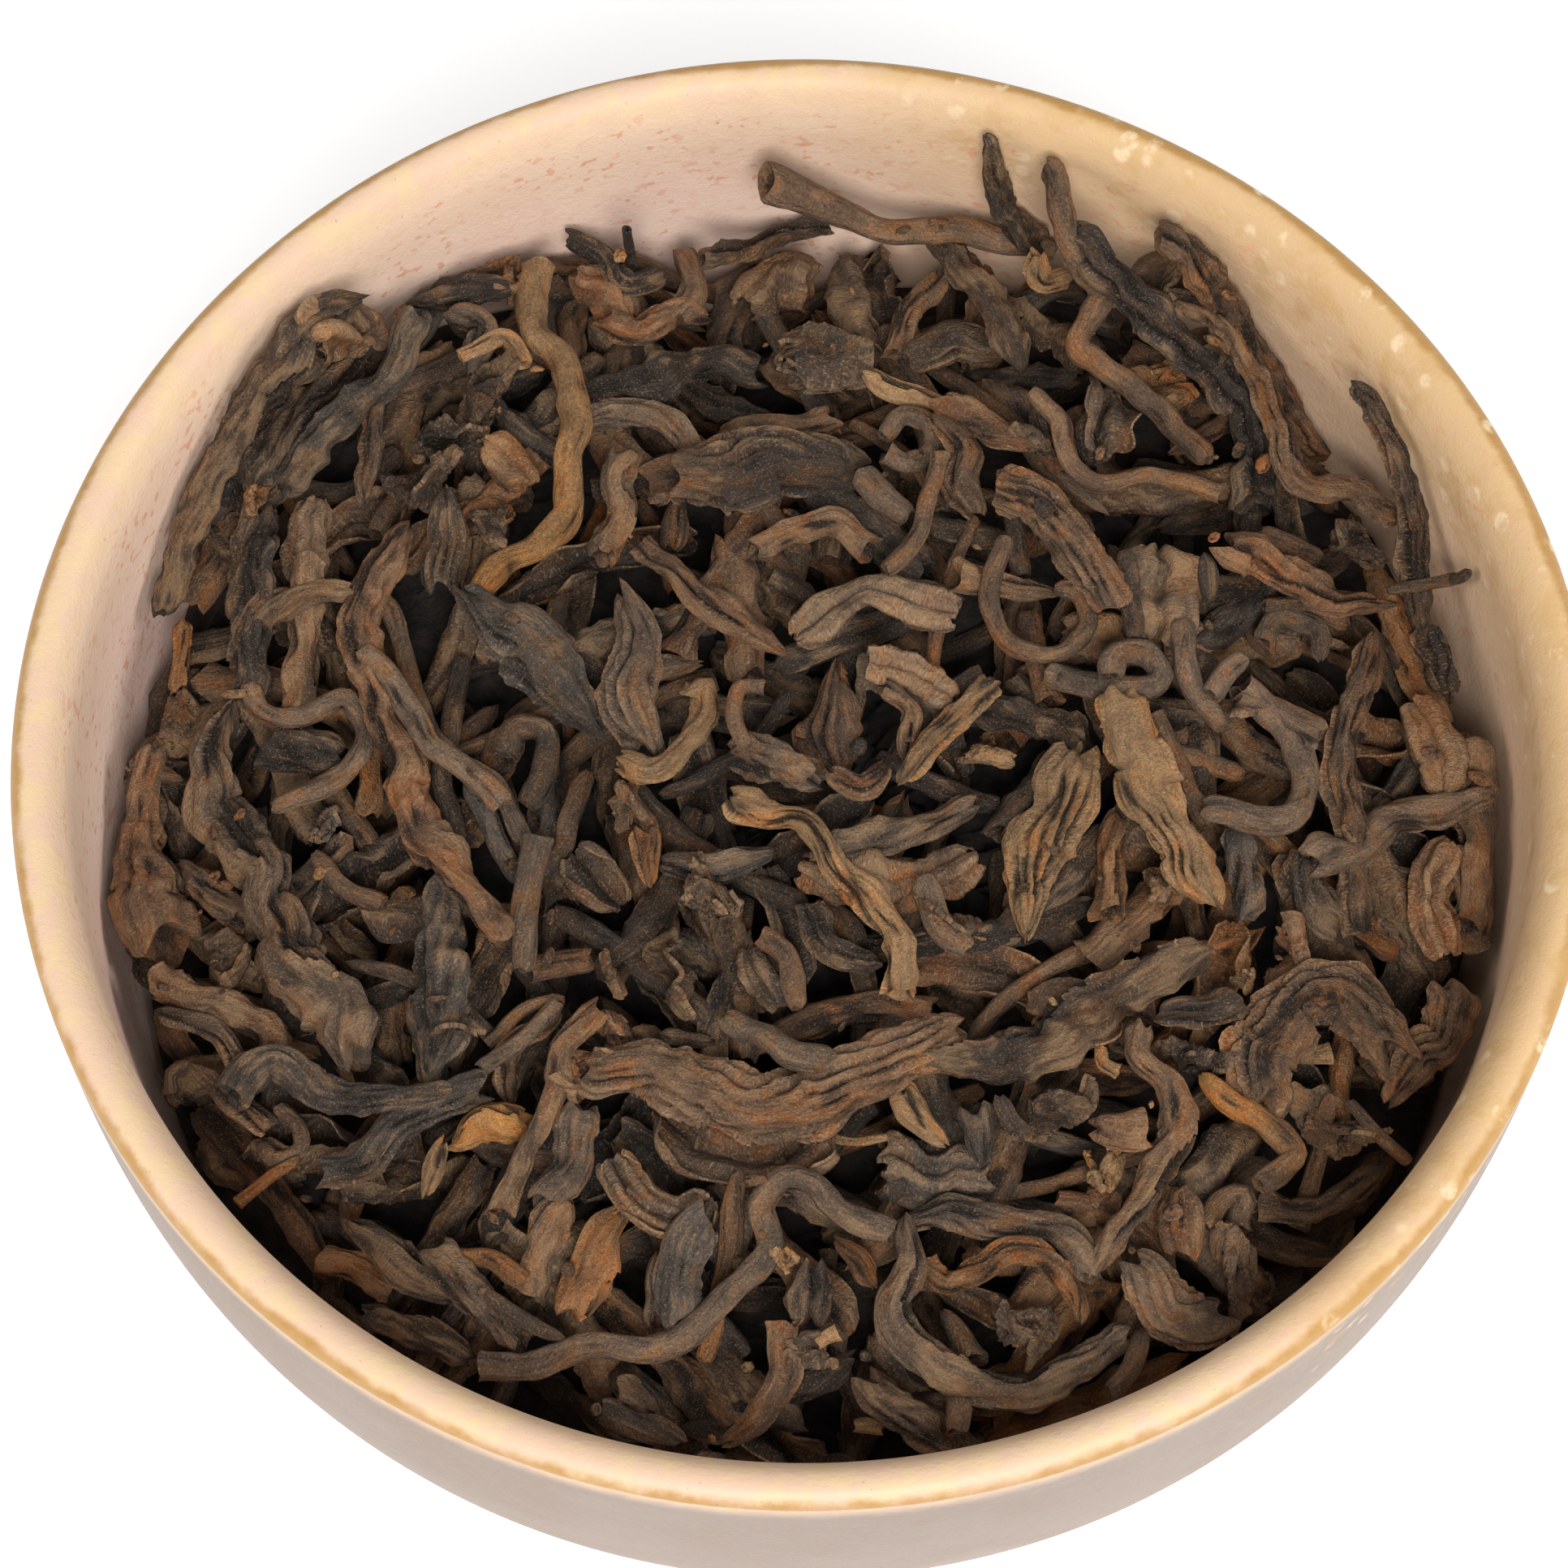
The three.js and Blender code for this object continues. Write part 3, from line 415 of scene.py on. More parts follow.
leaf 4 slate 2.8>2.4>1.2 0 | -36,-21.7 -33.5,-19.2 -30.5,-21.3 -26.5,-21.7 -21.3,-21.3
leaf 4 slate 2.6 0 | -30,-26.7 -27.5,-26 -25.3,-23.5 -22,-21.7 -20,-21
leaf 4 tan 2.8 0 | -23.4,-27.8 -23,-26.3 -22.6,-24.8
leaf 3 gold 3 0 | -22,-24.5 -20,-23.3 -17.3,-23
leaf 3 brown 2.1 0 | -38.5,-19.5 -36.2,-21.5 -33.5,-23.7
stem 2 brown 1.2 0 | -33,-22.3 -31.7,-23.5 -31.5,-25 -33,-25.8 -34,-24.8
stem 4 rust 0.9 0 | -35.2,-28.7 -33.3,-27 -31.5,-25.7
leaf 3 dark 3.1 0 | -28,-30 -25.2,-32 -22,-34.7
leaf 3 grey 2.9 0 | -23,-31.5 -21,-34 -17,-37.5
stem 3 dark 1.1 0 | -19.5,-34.5 -17,-36.2 -14.5,-37.3
stem 2 rust 1.4 0 | -22.2,-32 -19.5,-32.3 -17,-33.6
leaf 2 rust 2.1 0 | -29.7,-32.3 -27.5,-33 -25.3,-34.3
leaf 2 dark 2.1 0 | -27,-35.7 -23,-37.2 -20.3,-38.6
leaf 1 black 2.1 0 | -24.5,-15 -23.7,-18 -23,-21
ball 3 dark 3.2 0 | -22.3,-17
stem 3 grey 1.2 0 | -15.5,-15.2 -17.8,-17.6 -20.3,-19.8
leaf 2 black 3.4 0 | -33,29.5 -35.5,25.5 -38.2,20.5
leaf 2 dark 3 0 | -30.5,31.5 -33,27.5 -35,23.5
leaf 2 black 2.8 0 | -27,35.5 -23.5,36.5 -20,37
leaf 2 dark 2.6 0 | -36,31.5 -33.5,32.5 -30.5,33
stem 2 black 0.6>0.9 6 | -12.4,41.6 -12.2,40 -12,38.6
"""


def linear(colour):
    """A colour of 0 to 255, as seen on a screen, as the light it stands for."""
    share = np.asarray(colour, float) / 255
    return np.where(share <= 0.04045, share / 12.92, ((share + 0.055) / 1.055) ** 2.4)


def paint(colour):
    """The same light as the value of a shader's colour socket."""
    return (*linear(colour).tolist(), 1.0)


def glaze(name):
    return paint(GLAZE_COLOURS[name])


# Shader graphs


class Value:
    """An output socket that Python's operators can join to others through Math nodes."""

    def __init__(self, graph, socket):
        self.graph = graph
        self.socket = socket

    def __add__(self, other):
        return self.graph.math("ADD", self, other)

    def __sub__(self, other):
        return self.graph.math("SUBTRACT", self, other)

    def __rsub__(self, other):
        return self.graph.math("SUBTRACT", other, self)

    def __mul__(self, other):
        return self.graph.math("MULTIPLY", self, other)

    __radd__ = __add__
    __rmul__ = __mul__


class Graph:
    """A material's node tree."""

    def __init__(self, name):
        self.material = bpy.data.materials.new(name)
        self.material.use_nodes = True
        self.tree = self.material.node_tree
        self.tree.nodes.clear()

    def node(self, kind, settings=None, inputs=None, output=0):
        """Adds a node, sets it, fills or links its inputs, and gives one of its outputs."""
        made = self.tree.nodes.new(kind)
        for name, value in (settings or {}).items():
            setattr(made, name, value)
        for name, value in (inputs or {}).items():
            if isinstance(value, Value):
                self.tree.links.new(value.socket, made.inputs[name])
            else:
                made.inputs[name].default_value = value
        return Value(self, made.outputs[output]) if len(made.outputs) else None

    def math(self, operation, *values):
        return self.node("ShaderNodeMath", {"operation": operation}, dict(enumerate(values)))

    def mix(self, factor, first, second, blend="MIX"):
        settings = {"data_type": "RGBA", "blend_type": blend}
        return self.node("ShaderNodeMix", settings, {0: factor, 6: first, 7: second}, 2)

    def step(self, value, low, high):
        """0 below low and 1 above high, smoothly in between."""
        settings = {"interpolation_type": "SMOOTHSTEP"}
        return self.node("ShaderNodeMapRange", settings, {0: value, 1: low, 2: high})

    def noise(self, place, scale, detail=2.0, roughness=0.5):
        inputs = {"Vector": place, "Scale": scale, "Detail": detail, "Roughness": roughness}
        return self.node("ShaderNodeTexNoise", None, inputs)

    def stretched(self, place, factors):
        inputs = {0: place, 1: factors}
        return self.node("ShaderNodeVectorMath", {"operation": "MULTIPLY"}, inputs)

    def place(self):
        """Object coordinates in millimetres."""
        coordinates = self.node("ShaderNodeTexCoord", output=3)
        return self.stretched(coordinates, (1 / MM, 1 / MM, 1 / MM))

    def axes(self, place):
        split = {"Vector": place}
        return [self.node("ShaderNodeSeparateXYZ", None, split, axis) for axis in range(3)]

    def attribute(self, name, output):
        return self.node("ShaderNodeAttribute", {"attribute_name": name}, output=output)

    def bump(self, height, distance):
        """A normal from a height; the distance is in millimetres."""
        inputs = {"Strength": 1.0, "Distance": distance * MM, "Height": height}
        return self.node("ShaderNodeBump", None, inputs)

    def finish(self, inputs):
        """Joins the surface to the output and gives the material."""
        surface = self.node("ShaderNodeBsdfPrincipled", None, inputs)
        self.node("ShaderNodeOutputMaterial", None, {"Surface": surface})
        return self.material


# Materials


def stoneware_material():
    """Satin glaze: peach inside, cream and ochre at the lip, greyish pink outside; the lip and the
    outside are painted darker than the wall, partly as painted shade.
    """
    graph = Graph("stoneware_glaze")
    place = graph.place()
    x, y, z = graph.axes(place)
    flat = graph.stretched(place, (1.0, 1.0, 0.0))
    radius = graph.node("ShaderNodeVectorMath", {"operation": "LENGTH"}, {0: flat}, 1)
    cloud = graph.noise(place, 0.12, 3.0)
    mottle = graph.noise(place, 0.6, 4.0, 0.6)
    grain = graph.noise(place, 2.6, 4.0, 0.7)
    wander = (mottle - 0.5) * 2.0
    right = graph.step(x + y * 0.3 + (cloud - 0.5) * 24, 6.0, 32.0)

    inside = 1 - graph.step(radius, LIP_MIDDLE - 0.3, LIP_MIDDLE + 0.6)
    peach = graph.mix(graph.step(cloud, 0.35, 0.68), glaze("peach"), glaze("rose"))
    sandy = graph.mix(right * 0.8, glaze("sand"), glaze("ochre sand"))
    wall = graph.mix(graph.step(z + wander * 2.0, 32.0, 46.5) * 0.7, peach, sandy)
    wall = graph.mix(right * 0.55, wall, glaze("ochre wall"))
    speck_place = graph.stretched(place, (1.0, 1.0, 1.4))
    specks = graph.step(graph.noise(speck_place, 1.1, 2.0, 0.5), 0.58, 0.65)
    drifts = graph.step(graph.noise(place, 0.22, 3.0), 0.42, 0.62)
    wall = graph.mix(specks * (0.25 + drifts * 0.75) * 0.8, wall, glaze("rosy speck"))

    # The outside is painted darker than the inside wall: partly its own greyish pink, partly painted
    # shade
    outer = graph.mix(graph.step(cloud, 0.3, 0.7), glaze("outside"), glaze("outside brown"))
    body = graph.mix(inside, outer, wall)

    # The lip is painted darker than the inside wall: partly its own cream, partly painted shade against
    # its stronger light
    lip = graph.step(z + wander * 0.5, LIP_BASE - 1.5, BOWL_HEIGHT - 0.3)
    blotches = graph.step(graph.noise(place, 0.4, 3.0, 0.6), 0.42, 0.6)
    peachy = graph.mix(blotches * 0.8, glaze("lip"), glaze("lip cream"))
    golden = graph.mix(right * 0.7, peachy, glaze("lip ochre"))
    creamy = graph.mix(lip, body, golden)
    reach = radius + wander * 0.35 + (cloud - 0.5) * 1.4 + right * 0.3 + y * 0.006
    edge = graph.step(reach, RIM_RADIUS - 0.95, RIM_RADIUS - 0.35)
    edge = edge * graph.step(z + wander * 0.15, BOWL_HEIGHT - 1.2, BOWL_HEIGHT - 0.9)
    edged = graph.mix(edge * (0.65 + mottle * 0.5), creamy, glaze("rim"))

    spots = graph.node(
        "ShaderNodeTexVoronoi",
        {"feature": "F1"},
        {"Vector": place, "Scale": 0.42, "Randomness": 1.0},
    )
    shown = right * graph.step(z, 34.0, 42.0) * graph.step(mottle, 0.45, 0.6)
    pale = (1 - graph.step(spots, 0.2, 0.34)) * shown
    olive = graph.step(graph.noise(place, 0.34, 3.0, 0.6), 0.5, 0.66) * right
    olive = olive * graph.step(z, 36.0, 44.0)
    patched = graph.mix(olive * 0.4, edged, glaze("olive"))
    spotted = graph.mix(pale * 0.6, patched, glaze("pale spot"))
    pits = graph.step(graph.noise(place, 3.1, 2.0), 0.72, 0.77)
    dotted = graph.mix(pits * 0.45, spotted, glaze("pit"))

    height = grain * 0.35 + mottle * 0.4 + graph.noise(place, 7.0, 2.0) * 0.18
    normal = graph.bump(height, 0.14)
    rough = 0.5 + (grain - 0.5) * 0.25
    return graph.finish(
        {
            "Base Color": dotted,
            "Roughness": rough,
            "Normal": normal,
            "Coat Weight": 0.1,
            "Coat Roughness": 0.35,
            "Specular IOR Level": 0.35,
        }
    )


def tea_material(name, dust, wrinkle, fibre):
    """Dry fermented leaf: the piece's own colour, with painted shade in its folds and hollow ends, a
    painted highlight on its ridges, and pale dust on top.
    """
    graph = Graph(name)
    grain = graph.attribute("grain", 1)
    relief = graph.attribute("relief", 2)
    own = graph.attribute("leaf_colour", 0)
    patches = graph.noise(graph.stretched(grain, (1.0, 1.0, 0.5)), 0.5, 4.0, 0.6)
    mottle = graph.noise(grain, 1.5, 4.0, 0.65)
    veins = graph.noise(graph.stretched(grain, (2.4, 2.4, 0.36)), 1.2, 4.0, 0.6)
    skin = graph.noise(grain, 4.0, 4.0, 0.7)
    fine = graph.noise(grain, 8.0, 2.0, 0.6)

    lightness = graph.node("ShaderNodeRGBToBW", None, {"Color": own}, 0)
    speckle = graph.step(skin, 0.28, 0.72) * 0.45 + graph.step(fine, 0.25, 0.75) * 0.3
    lit = graph.mix(1.0, own, 0.45 + speckle + mottle * 0.6, "MULTIPLY")
    shadow = graph.mix(1.0, lit, paint((200, 200, 206)), "MULTIPLY")
    slate = graph.mix(0.6, shadow, paint(SLATE_SKIN))
    cool = graph.mix(graph.step(patches, 0.46, 0.62) * (1.05 - lightness * 3.4), lit, slate)
    warmer = graph.mix(1.0, lit, (1.45, 0.98, 0.56, 1.0), "MULTIPLY")
    rusty = graph.mix(graph.step(mottle * 0.6 + patches, 0.80, 0.62) * 0.8, cool, warmer)
    # Painted shade where the relief is low, in folds and hollow ends, and a painted highlight where it
    # is high, on ridges
    folds = graph.step(relief + (veins - 0.5) * 0.9, 0.10, 0.62)
    shaded = graph.mix((1 - folds) * 0.88, rusty, paint(FOLD_PAINTED_SHADE))
    raised = graph.step(relief + (veins - 0.5) * 1.3, 0.7, 1.15)
    highlighted_ridges = graph.mix(raised * 0.4, shaded, paint(RIDGE_PAINTED_HIGHLIGHT))
    dusty = graph.mix(graph.step(fine + skin * 0.4, 0.78, 0.9) * dust, highlighted_ridges, paint(DUST_TAN))

    height = veins * fibre + mottle * 0.6 + skin * wrinkle + fine * 0.2
    normal = graph.bump(height, 0.6)
    rough = 0.66 + (skin - 0.5) * 0.3
    return graph.finish(
        {"Base Color": dusty, "Roughness": rough, "Normal": normal, "Specular IOR Level": 0.3}
    )


def core_material():
    """The shade between the leaves, with the tones of crushed leaf."""
    graph = Graph("tea_core")
    place = graph.place()
    lumps = graph.noise(place, 0.7, 5.0, 0.7)
    tone = graph.mix(graph.step(lumps, 0.35, 0.7), paint((18, 14, 12)), paint((50, 38, 30)))
    normal = graph.bump(graph.noise(place, 2.0, 4.0, 0.7), 0.5)
    return graph.finish({"Base Color": tone, "Roughness": 0.9, "Normal": normal})


def floor_material():
    """Plain pale paper."""
    graph = Graph("pale_floor")
    tone = graph.noise(graph.place(), 0.01, 2.0)
    white = graph.mix(tone, paint((240, 240, 240)), paint((246, 246, 246)))
    return graph.finish(
        {"Base Color": white, "Roughness": 0.85, "Emission Color": white, "Emission Strength": 0.3}
    )


# Bowl


def belly_share(share):
    """Share of the way out that a belly has reached at a share of its height."""
    return (1 - (1 - share) ** BELLY_STEEPNESS) ** (1 / BELLY_ROUNDNESS)


def outer_radius(height):
    start = FOOT_RADIUS + FOOT_SPREAD
    share = (height - FOOT_HEIGHT) / (LIP_BASE - FOOT_HEIGHT)
    return start + (RIM_RADIUS - start) * belly_share(np.clip(share, 0, 1))


def inner_radius(height):
    share = (height - FLOOR_HEIGHT) / (LIP_BASE - FLOOR_HEIGHT)
    return FLOOR_RADIUS + (RIM_RADIUS - WALL - FLOOR_RADIUS) * belly_share(np.clip(share, 0, 1))


def bowl_profile():
    """The bowl's section, from the middle of its underside over the lip to the middle inside."""
    points = [
        (0.0, FOOT_RECESS),
        (FOOT_RADIUS - FOOT_RING - FOOT_SLANT, FOOT_RECESS),
        (FOOT_RADIUS - FOOT_RING, 0.0),
        (FOOT_RADIUS, 0.0),
    ]
    shares = (np.arange(BELLY_STEPS + 1) / BELLY_STEPS) ** BELLY_ROUNDNESS
    for share in shares:
        height = FOOT_HEIGHT + (LIP_BASE - FOOT_HEIGHT) * share
        points.append((outer_radius(height), height))
    for step in range(1, LIP_STEPS):
        angle = math.pi * step / LIP_STEPS
        outer = step <= LIP_STEPS / 2
        across, rise = (LIP_EDGE, LIP_EDGE) if outer else (WALL - LIP_EDGE, LIP_SLOPE)
        radius = RIM_RADIUS - LIP_EDGE + across * math.cos(angle)
        points.append((radius, BOWL_HEIGHT - rise + rise * math.sin(angle)))
    for share in shares[::-1]:
        height = FLOOR_HEIGHT + (LIP_BASE - FLOOR_HEIGHT) * share
        if height < BOWL_HEIGHT - LIP_SLOPE:
            points.append((inner_radius(height), height))
    points.append((0.0, FLOOR_HEIGHT))
    return points


def make_bowl():
    """The profile is drawn edge by edge and spun about the bowl's axis."""
    bpy.ops.object.select_all(action="DESELECT")
    bpy.ops.mesh.primitive_plane_add(size=MM)
    bowl = bpy.context.object
    bowl.name = "stoneware_bowl"
    bpy.ops.object.mode_set(mode="EDIT")
    bpy.ops.mesh.select_all(action="SELECT")
    bpy.ops.mesh.merge(type="CENTER")
    profile = bowl_profile()
    bpy.ops.transform.translate(value=(profile[0][0] * MM, 0, profile[0][1] * MM))
    for (radius, height), (next_radius, next_height) in zip(profile, profile[1:]):
        move = ((next_radius - radius) * MM, 0, (next_height - height) * MM)
        bpy.ops.mesh.extrude_region_move(TRANSFORM_OT_translate={"value": move})
    bpy.ops.mesh.select_all(action="SELECT")
    bpy.ops.mesh.spin(steps=BOWL_SIDES, angle=TAU, center=(0, 0, 0), axis=(0, 0, 1))
    bpy.ops.mesh.select_all(action="SELECT")
    bpy.ops.mesh.remove_doubles(threshold=1e-6)
    bpy.ops.mesh.normals_make_consistent(inside=False)
    bpy.ops.object.mode_set(mode="OBJECT")
    bpy.ops.object.transform_apply(location=True, rotation=True, scale=True)
    bpy.ops.object.shade_smooth_by_angle(angle=BOWL_CREASE)
    bowl.data.materials.append(stoneware_material())
    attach(bowl, "root")
    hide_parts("bowl")


# Pieces of tea as arrays


class Batch:
    """Solids that are joined into one mesh, with a colour, a relief that places painted shade and
    painted highlight, and a place along the grain.
    """

    def __init__(self):
        self.points = []
        self.quads = []
        self.triangles = []
        self.colours = []
        self.reliefs = []
        self.grains = []
        self.count = 0

    def add(self, points, quads, triangles, colour, relief, grain):
        if volume(points, quads, triangles) < 0:
            quads = quads[:, ::-1]
            triangles = triangles[:, ::-1]
        self.points.append(points)
        self.quads.append(quads + self.count)
        self.triangles.append(triangles + self.count)
        self.colours.append(np.broadcast_to(colour, points.shape))
        self.reliefs.append(relief)
        self.grains.append(grain)
        self.count += len(points)

    def piece(self, name, material):
        mesh = bpy.data.meshes.new(name)
        quads = np.vstack(self.quads)
        triangles = np.vstack(self.triangles)
        corners = np.concatenate([quads.ravel(), triangles.ravel()])
        starts = np.concatenate(
            [np.arange(len(quads)) * 4, quads.size + np.arange(len(triangles)) * 3]
        )
        mesh.vertices.add(self.count)
        mesh.loops.add(len(corners))
        mesh.polygons.add(len(starts))
        mesh.vertices.foreach_set("co", (np.vstack(self.points) * MM).ravel())
        mesh.loops.foreach_set("vertex_index", corners)
        mesh.polygons.foreach_set("loop_start", starts)
        mesh.update(calc_edges=True)
        mesh.polygons.foreach_set("use_smooth", np.ones(len(starts), bool))
        mesh.set_sharp_from_angle(angle=LEAF_CREASE)
        colours = np.ones((self.count, 4))
        colours[:, :3] = np.vstack(self.colours)
        attribute = mesh.attributes.new("leaf_colour", "FLOAT_COLOR", "POINT")
        attribute.data.foreach_set("color", colours.ravel())
        # The relief tells the tea material where to paint shade and where to paint a highlight
        attribute = mesh.attributes.new("relief", "FLOAT", "POINT")
        attribute.data.foreach_set("value", np.concatenate(self.reliefs))
        attribute = mesh.attributes.new("grain", "FLOAT_VECTOR", "POINT")
        attribute.data.foreach_set("vector", np.vstack(self.grains).ravel())
        mesh.materials.append(material)
        made = bpy.data.objects.new(name, mesh)
        bpy.context.scene.collection.objects.link(made)
        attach(made, "root")
        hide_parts("tea_leaves")


def volume(points, quads, triangles):
    """Volume of a closed solid, below zero where its faces look inwards."""
    faces = np.vstack([quads[:, [0, 1, 2]], quads[:, [0, 2, 3]], triangles])
    a, b, c = (points[faces[:, i]] for i in range(3))
    return float((a * np.cross(b, c)).sum()) / 6


def waves(rng, along, wavelength, count=4):
    """Smooth noise of about -1 to 1 along a length."""
    total = np.zeros_like(along)
    for _ in range(count):
        total += np.sin(TAU * along / (wavelength * rng.uniform(0.6, 1.7)) + rng.uniform(0, TAU))
    return total / math.sqrt(2 * count)


def ripples(rng, around, along, most_around, spread, count=12):
    """Noise that closes round a section and drifts along it."""
    total = 0.0
    weight = 0.0
    for _ in range(count):
        turns = rng.integers(1, most_around + 1)
        size = turns**-0.4
        drift = rng.normal(0, spread)
        total = total + size * np.cos(turns * around + drift * along + rng.uniform(0, TAU))
        weight += size**2 / 2
    return total / math.sqrt(weight)


def grain_shift(rng):
    """Each piece's own place in the noise of its material."""
    return rng.uniform(-GRAIN_SPREAD, GRAIN_SPREAD, 3)


def wrapped(angle):
    """The same angle between minus and plus half a turn."""
    return np.mod(angle + math.pi, TAU) - math.pi


def unit(vectors):
    return vectors / np.maximum(np.linalg.norm(vectors, axis=-1, keepdims=True), 1e-9)


def along_path(points):
    """Length from the first point to each point."""
    return np.concatenate([[0.0], np.cumsum(np.linalg.norm(np.diff(points, axis=0), axis=1))])


def curve_through(points, step):
    """Even steps along a smooth curve through the points."""
    points = np.asarray(points, float)
    if len(points) == 2:
        points = np.array([points[0], points.mean(axis=0), points[1]])
    knots = along_path(points)
    slopes = np.gradient(points, knots, axis=0)
    dense = []
    for i in range(len(points) - 1):
        span = knots[i + 1] - knots[i]
        t = np.linspace(0, 1, 24, endpoint=i == len(points) - 2)[:, None]
        dense.append(
            (2 * t**3 - 3 * t**2 + 1) * points[i]
            + (t**3 - 2 * t**2 + t) * span * slopes[i]
            + (3 * t**2 - 2 * t**3) * points[i + 1]
            + (t**3 - t**2) * span * slopes[i + 1]
        )
    dense = np.vstack(dense)
    length = along_path(dense)
    count = max(6, int(round(length[-1] / step)) + 1)
    places = np.linspace(0, length[-1], count)
    return np.column_stack([np.interp(places, length, dense[:, k]) for k in range(points.shape[1])])


class Laid:
    """A piece of tea in its place: its middle line, half width, half height and colour by step."""

    def __init__(self, path, half, thick, colour):
        self.path = path
        self.half = half
        self.thick = thick
        self.colour = colour
        self.along = along_path(path)
        tangent = unit(np.gradient(path, axis=0))
        self.tangent = tangent
        self.across = unit(np.cross(UP, tangent))
        self.upward = np.cross(tangent, self.across)

    def end_distance(self):
        return np.minimum(self.along, self.along[-1] - self.along)

    def frayed(self, torn):
        """How far each point is moved along the piece where its ends are torn."""
        way = np.where(self.along < self.along[-1] / 2, -1, 1)[:, None]
        return way * torn * np.exp(-self.end_distance() / (0.7 * self.half))[:, None]

    def placed(self, wide, high, lean, forward):
        """The points of sections that lean to a side about the middle line."""
        sideways = wide * np.cos(lean) - high * np.sin(lean)
        upwards = wide * np.sin(lean) + high * np.cos(lean)
        return (
            self.path[:, None, :]
            + sideways[..., None] * self.across[:, None, :]
            + upwards[..., None] * self.upward[:, None, :]
            + forward[..., None] * self.tangent[:, None, :]
        )


def ring_faces(rings, sides):
    """Quads of a tube of rings, and the triangles that close it at its two end points."""
    ring = np.arange(rings - 1)[:, None] * sides
    side = np.arange(sides)[None, :]
    following = (side + 1) % sides
    quads = np.stack(
        [ring + side, ring + following, ring + sides + following, ring + sides + side], axis=-1
    ).reshape(-1, 4)
    side = side.ravel()
    following = following.ravel()
    first = rings * sides
    last = (rings - 1) * sides
    start = np.column_stack([np.full(sides, first), following, side])
    end = np.column_stack([np.full(sides, first + 1), last + side, last + following])
    return quads, np.vstack([start, end])


def end_shape(rng, laid, kinds):
    """Width along a piece near its cut, blunt, pointed or flared ends, and how hollow they are."""
    width = np.ones_like(laid.along)
    hollow = []
    ends = ((laid.along, laid.half[0]), (laid.along[-1] - laid.along, laid.half[-1]))
    for from_end, half in ends:
        least, reach, depth = END_SHAPES[rng.choice(list(END_SHAPES), p=kinds)]
        share = np.clip(from_end / (reach * half * rng.uniform(0.8, 1.3)), 0, 1)
        width *= least + (1 - least) * np.sqrt(1 - (1 - share) ** 2)
        hollow.append(depth)
    return width, np.array(hollow)


def add_tube(batch, laid, rng, sides, form):
    """A rolled leaf or a stem: a creased tube whose outer edge shows as a seam along it."""
    around = (np.arange(sides) * TAU / sides)[None, :]
    along = laid.along[:, None]
    ends = laid.end_distance()
    calm = (0.3 + 0.7 * np.clip(ends / (1.6 * laid.half), 0, 1))[:, None]
    drift = rng.normal(0, form["spiral"])
    sway = 0.3 * waves(rng, along, 9) + 0.05 * waves(rng, along, 3.4)
    shape = np.ones((len(along), sides))
    turned = np.mod(around - rng.uniform(0, TAU) - drift * along - sway, TAU) / TAU
    open_edge = form["roll"] * (0.8 + 0.5 * waves(rng, along, 8))
    shape += open_edge * (0.45 - turned) - 0.9 * open_edge * np.exp(-(1 - turned) / 0.05)
    for _ in range(form["folds"]):
        line = rng.uniform(0, TAU) + 1.3 * drift * along + sway + 0.3 * waves(rng, along, 6)
        width = rng.uniform(0.10, 0.26)
        depth = form["fold_depth"] * rng.uniform(0.5, 1.3)
        depth = depth * np.clip(0.8 + 0.5 * waves(rng, along, 5), 0, 1.4)
        shape -= depth * calm * np.exp(-np.abs(wrapped(around - line)) / width)
    ribs = form["ribs"]
    leaning = around + drift * along + sway + 0.03 * waves(rng, along, 2.2)
    where = np.clip(0.6 + 0.5 * ripples(rng, around, along, 2, 0.5, 6), 0, 1.2)
    shape += form["rib_depth"] * where * calm * (np.abs(np.sin(ribs * leaning / 2)) - 0.7)
    crinkle = ripples(rng, around, along, 5, 1.1)
    shape += form["crinkle"] * (0.4 - np.abs(crinkle))
    shape *= 1 + form["lump"] * ripples(rng, around, along, 2, 0.8, 6)
    shape *= 1 - form["pinch"] * np.abs(waves(rng, along, 4.4))
    shape = np.clip(shape, 0.2, 1.7)
    width, hollow = end_shape(rng, laid, form["ends"])

    wide = (laid.half * width)[:, None] * shape * np.cos(around)
    high = (laid.thick * width)[:, None] * shape * np.sin(around)
    lean = (form["bank"] * (0.5 * rng.normal() + waves(rng, laid.along, 12)))[:, None]
    torn = form["rag"] * ripples(rng, around, 0 * along, 4, 0.0, 5) * laid.half[:, None]
    points = laid.placed(wide, high, lean, laid.frayed(torn))
    inward = (hollow * laid.half[[0, -1]])[:, None] * laid.tangent[[0, -1]] * np.array([[1], [-1]])
    caps = points[[0, -1]].mean(axis=1) + inward
    points = np.vstack([points.reshape(-1, 3), caps])
    quads, triangles = ring_faces(len(along), sides)

    # Low relief in the grooves and hollow ends takes painted shade, high relief on the ridges a painted
    # highlight
    relief = np.clip(0.62 + (shape - np.median(shape)) * 1.9, 0, 1).ravel()
    relief = np.concatenate([relief, np.where(hollow > 0.3, 0.0, 0.7)])
    spread = laid.half[:, None]
    grain = np.stack([spread * np.cos(around), spread * np.sin(around), along + 0 * around], axis=-1)
    grain = np.vstack([grain.reshape(-1, 3), [[0, 0, laid.along[0]], [0, 0, laid.along[-1]]]])
    colour = np.vstack([np.repeat(laid.colour, sides, axis=0), laid.colour[[0, -1]]])
    batch.add(points, quads, triangles, colour, relief, grain + grain_shift(rng))


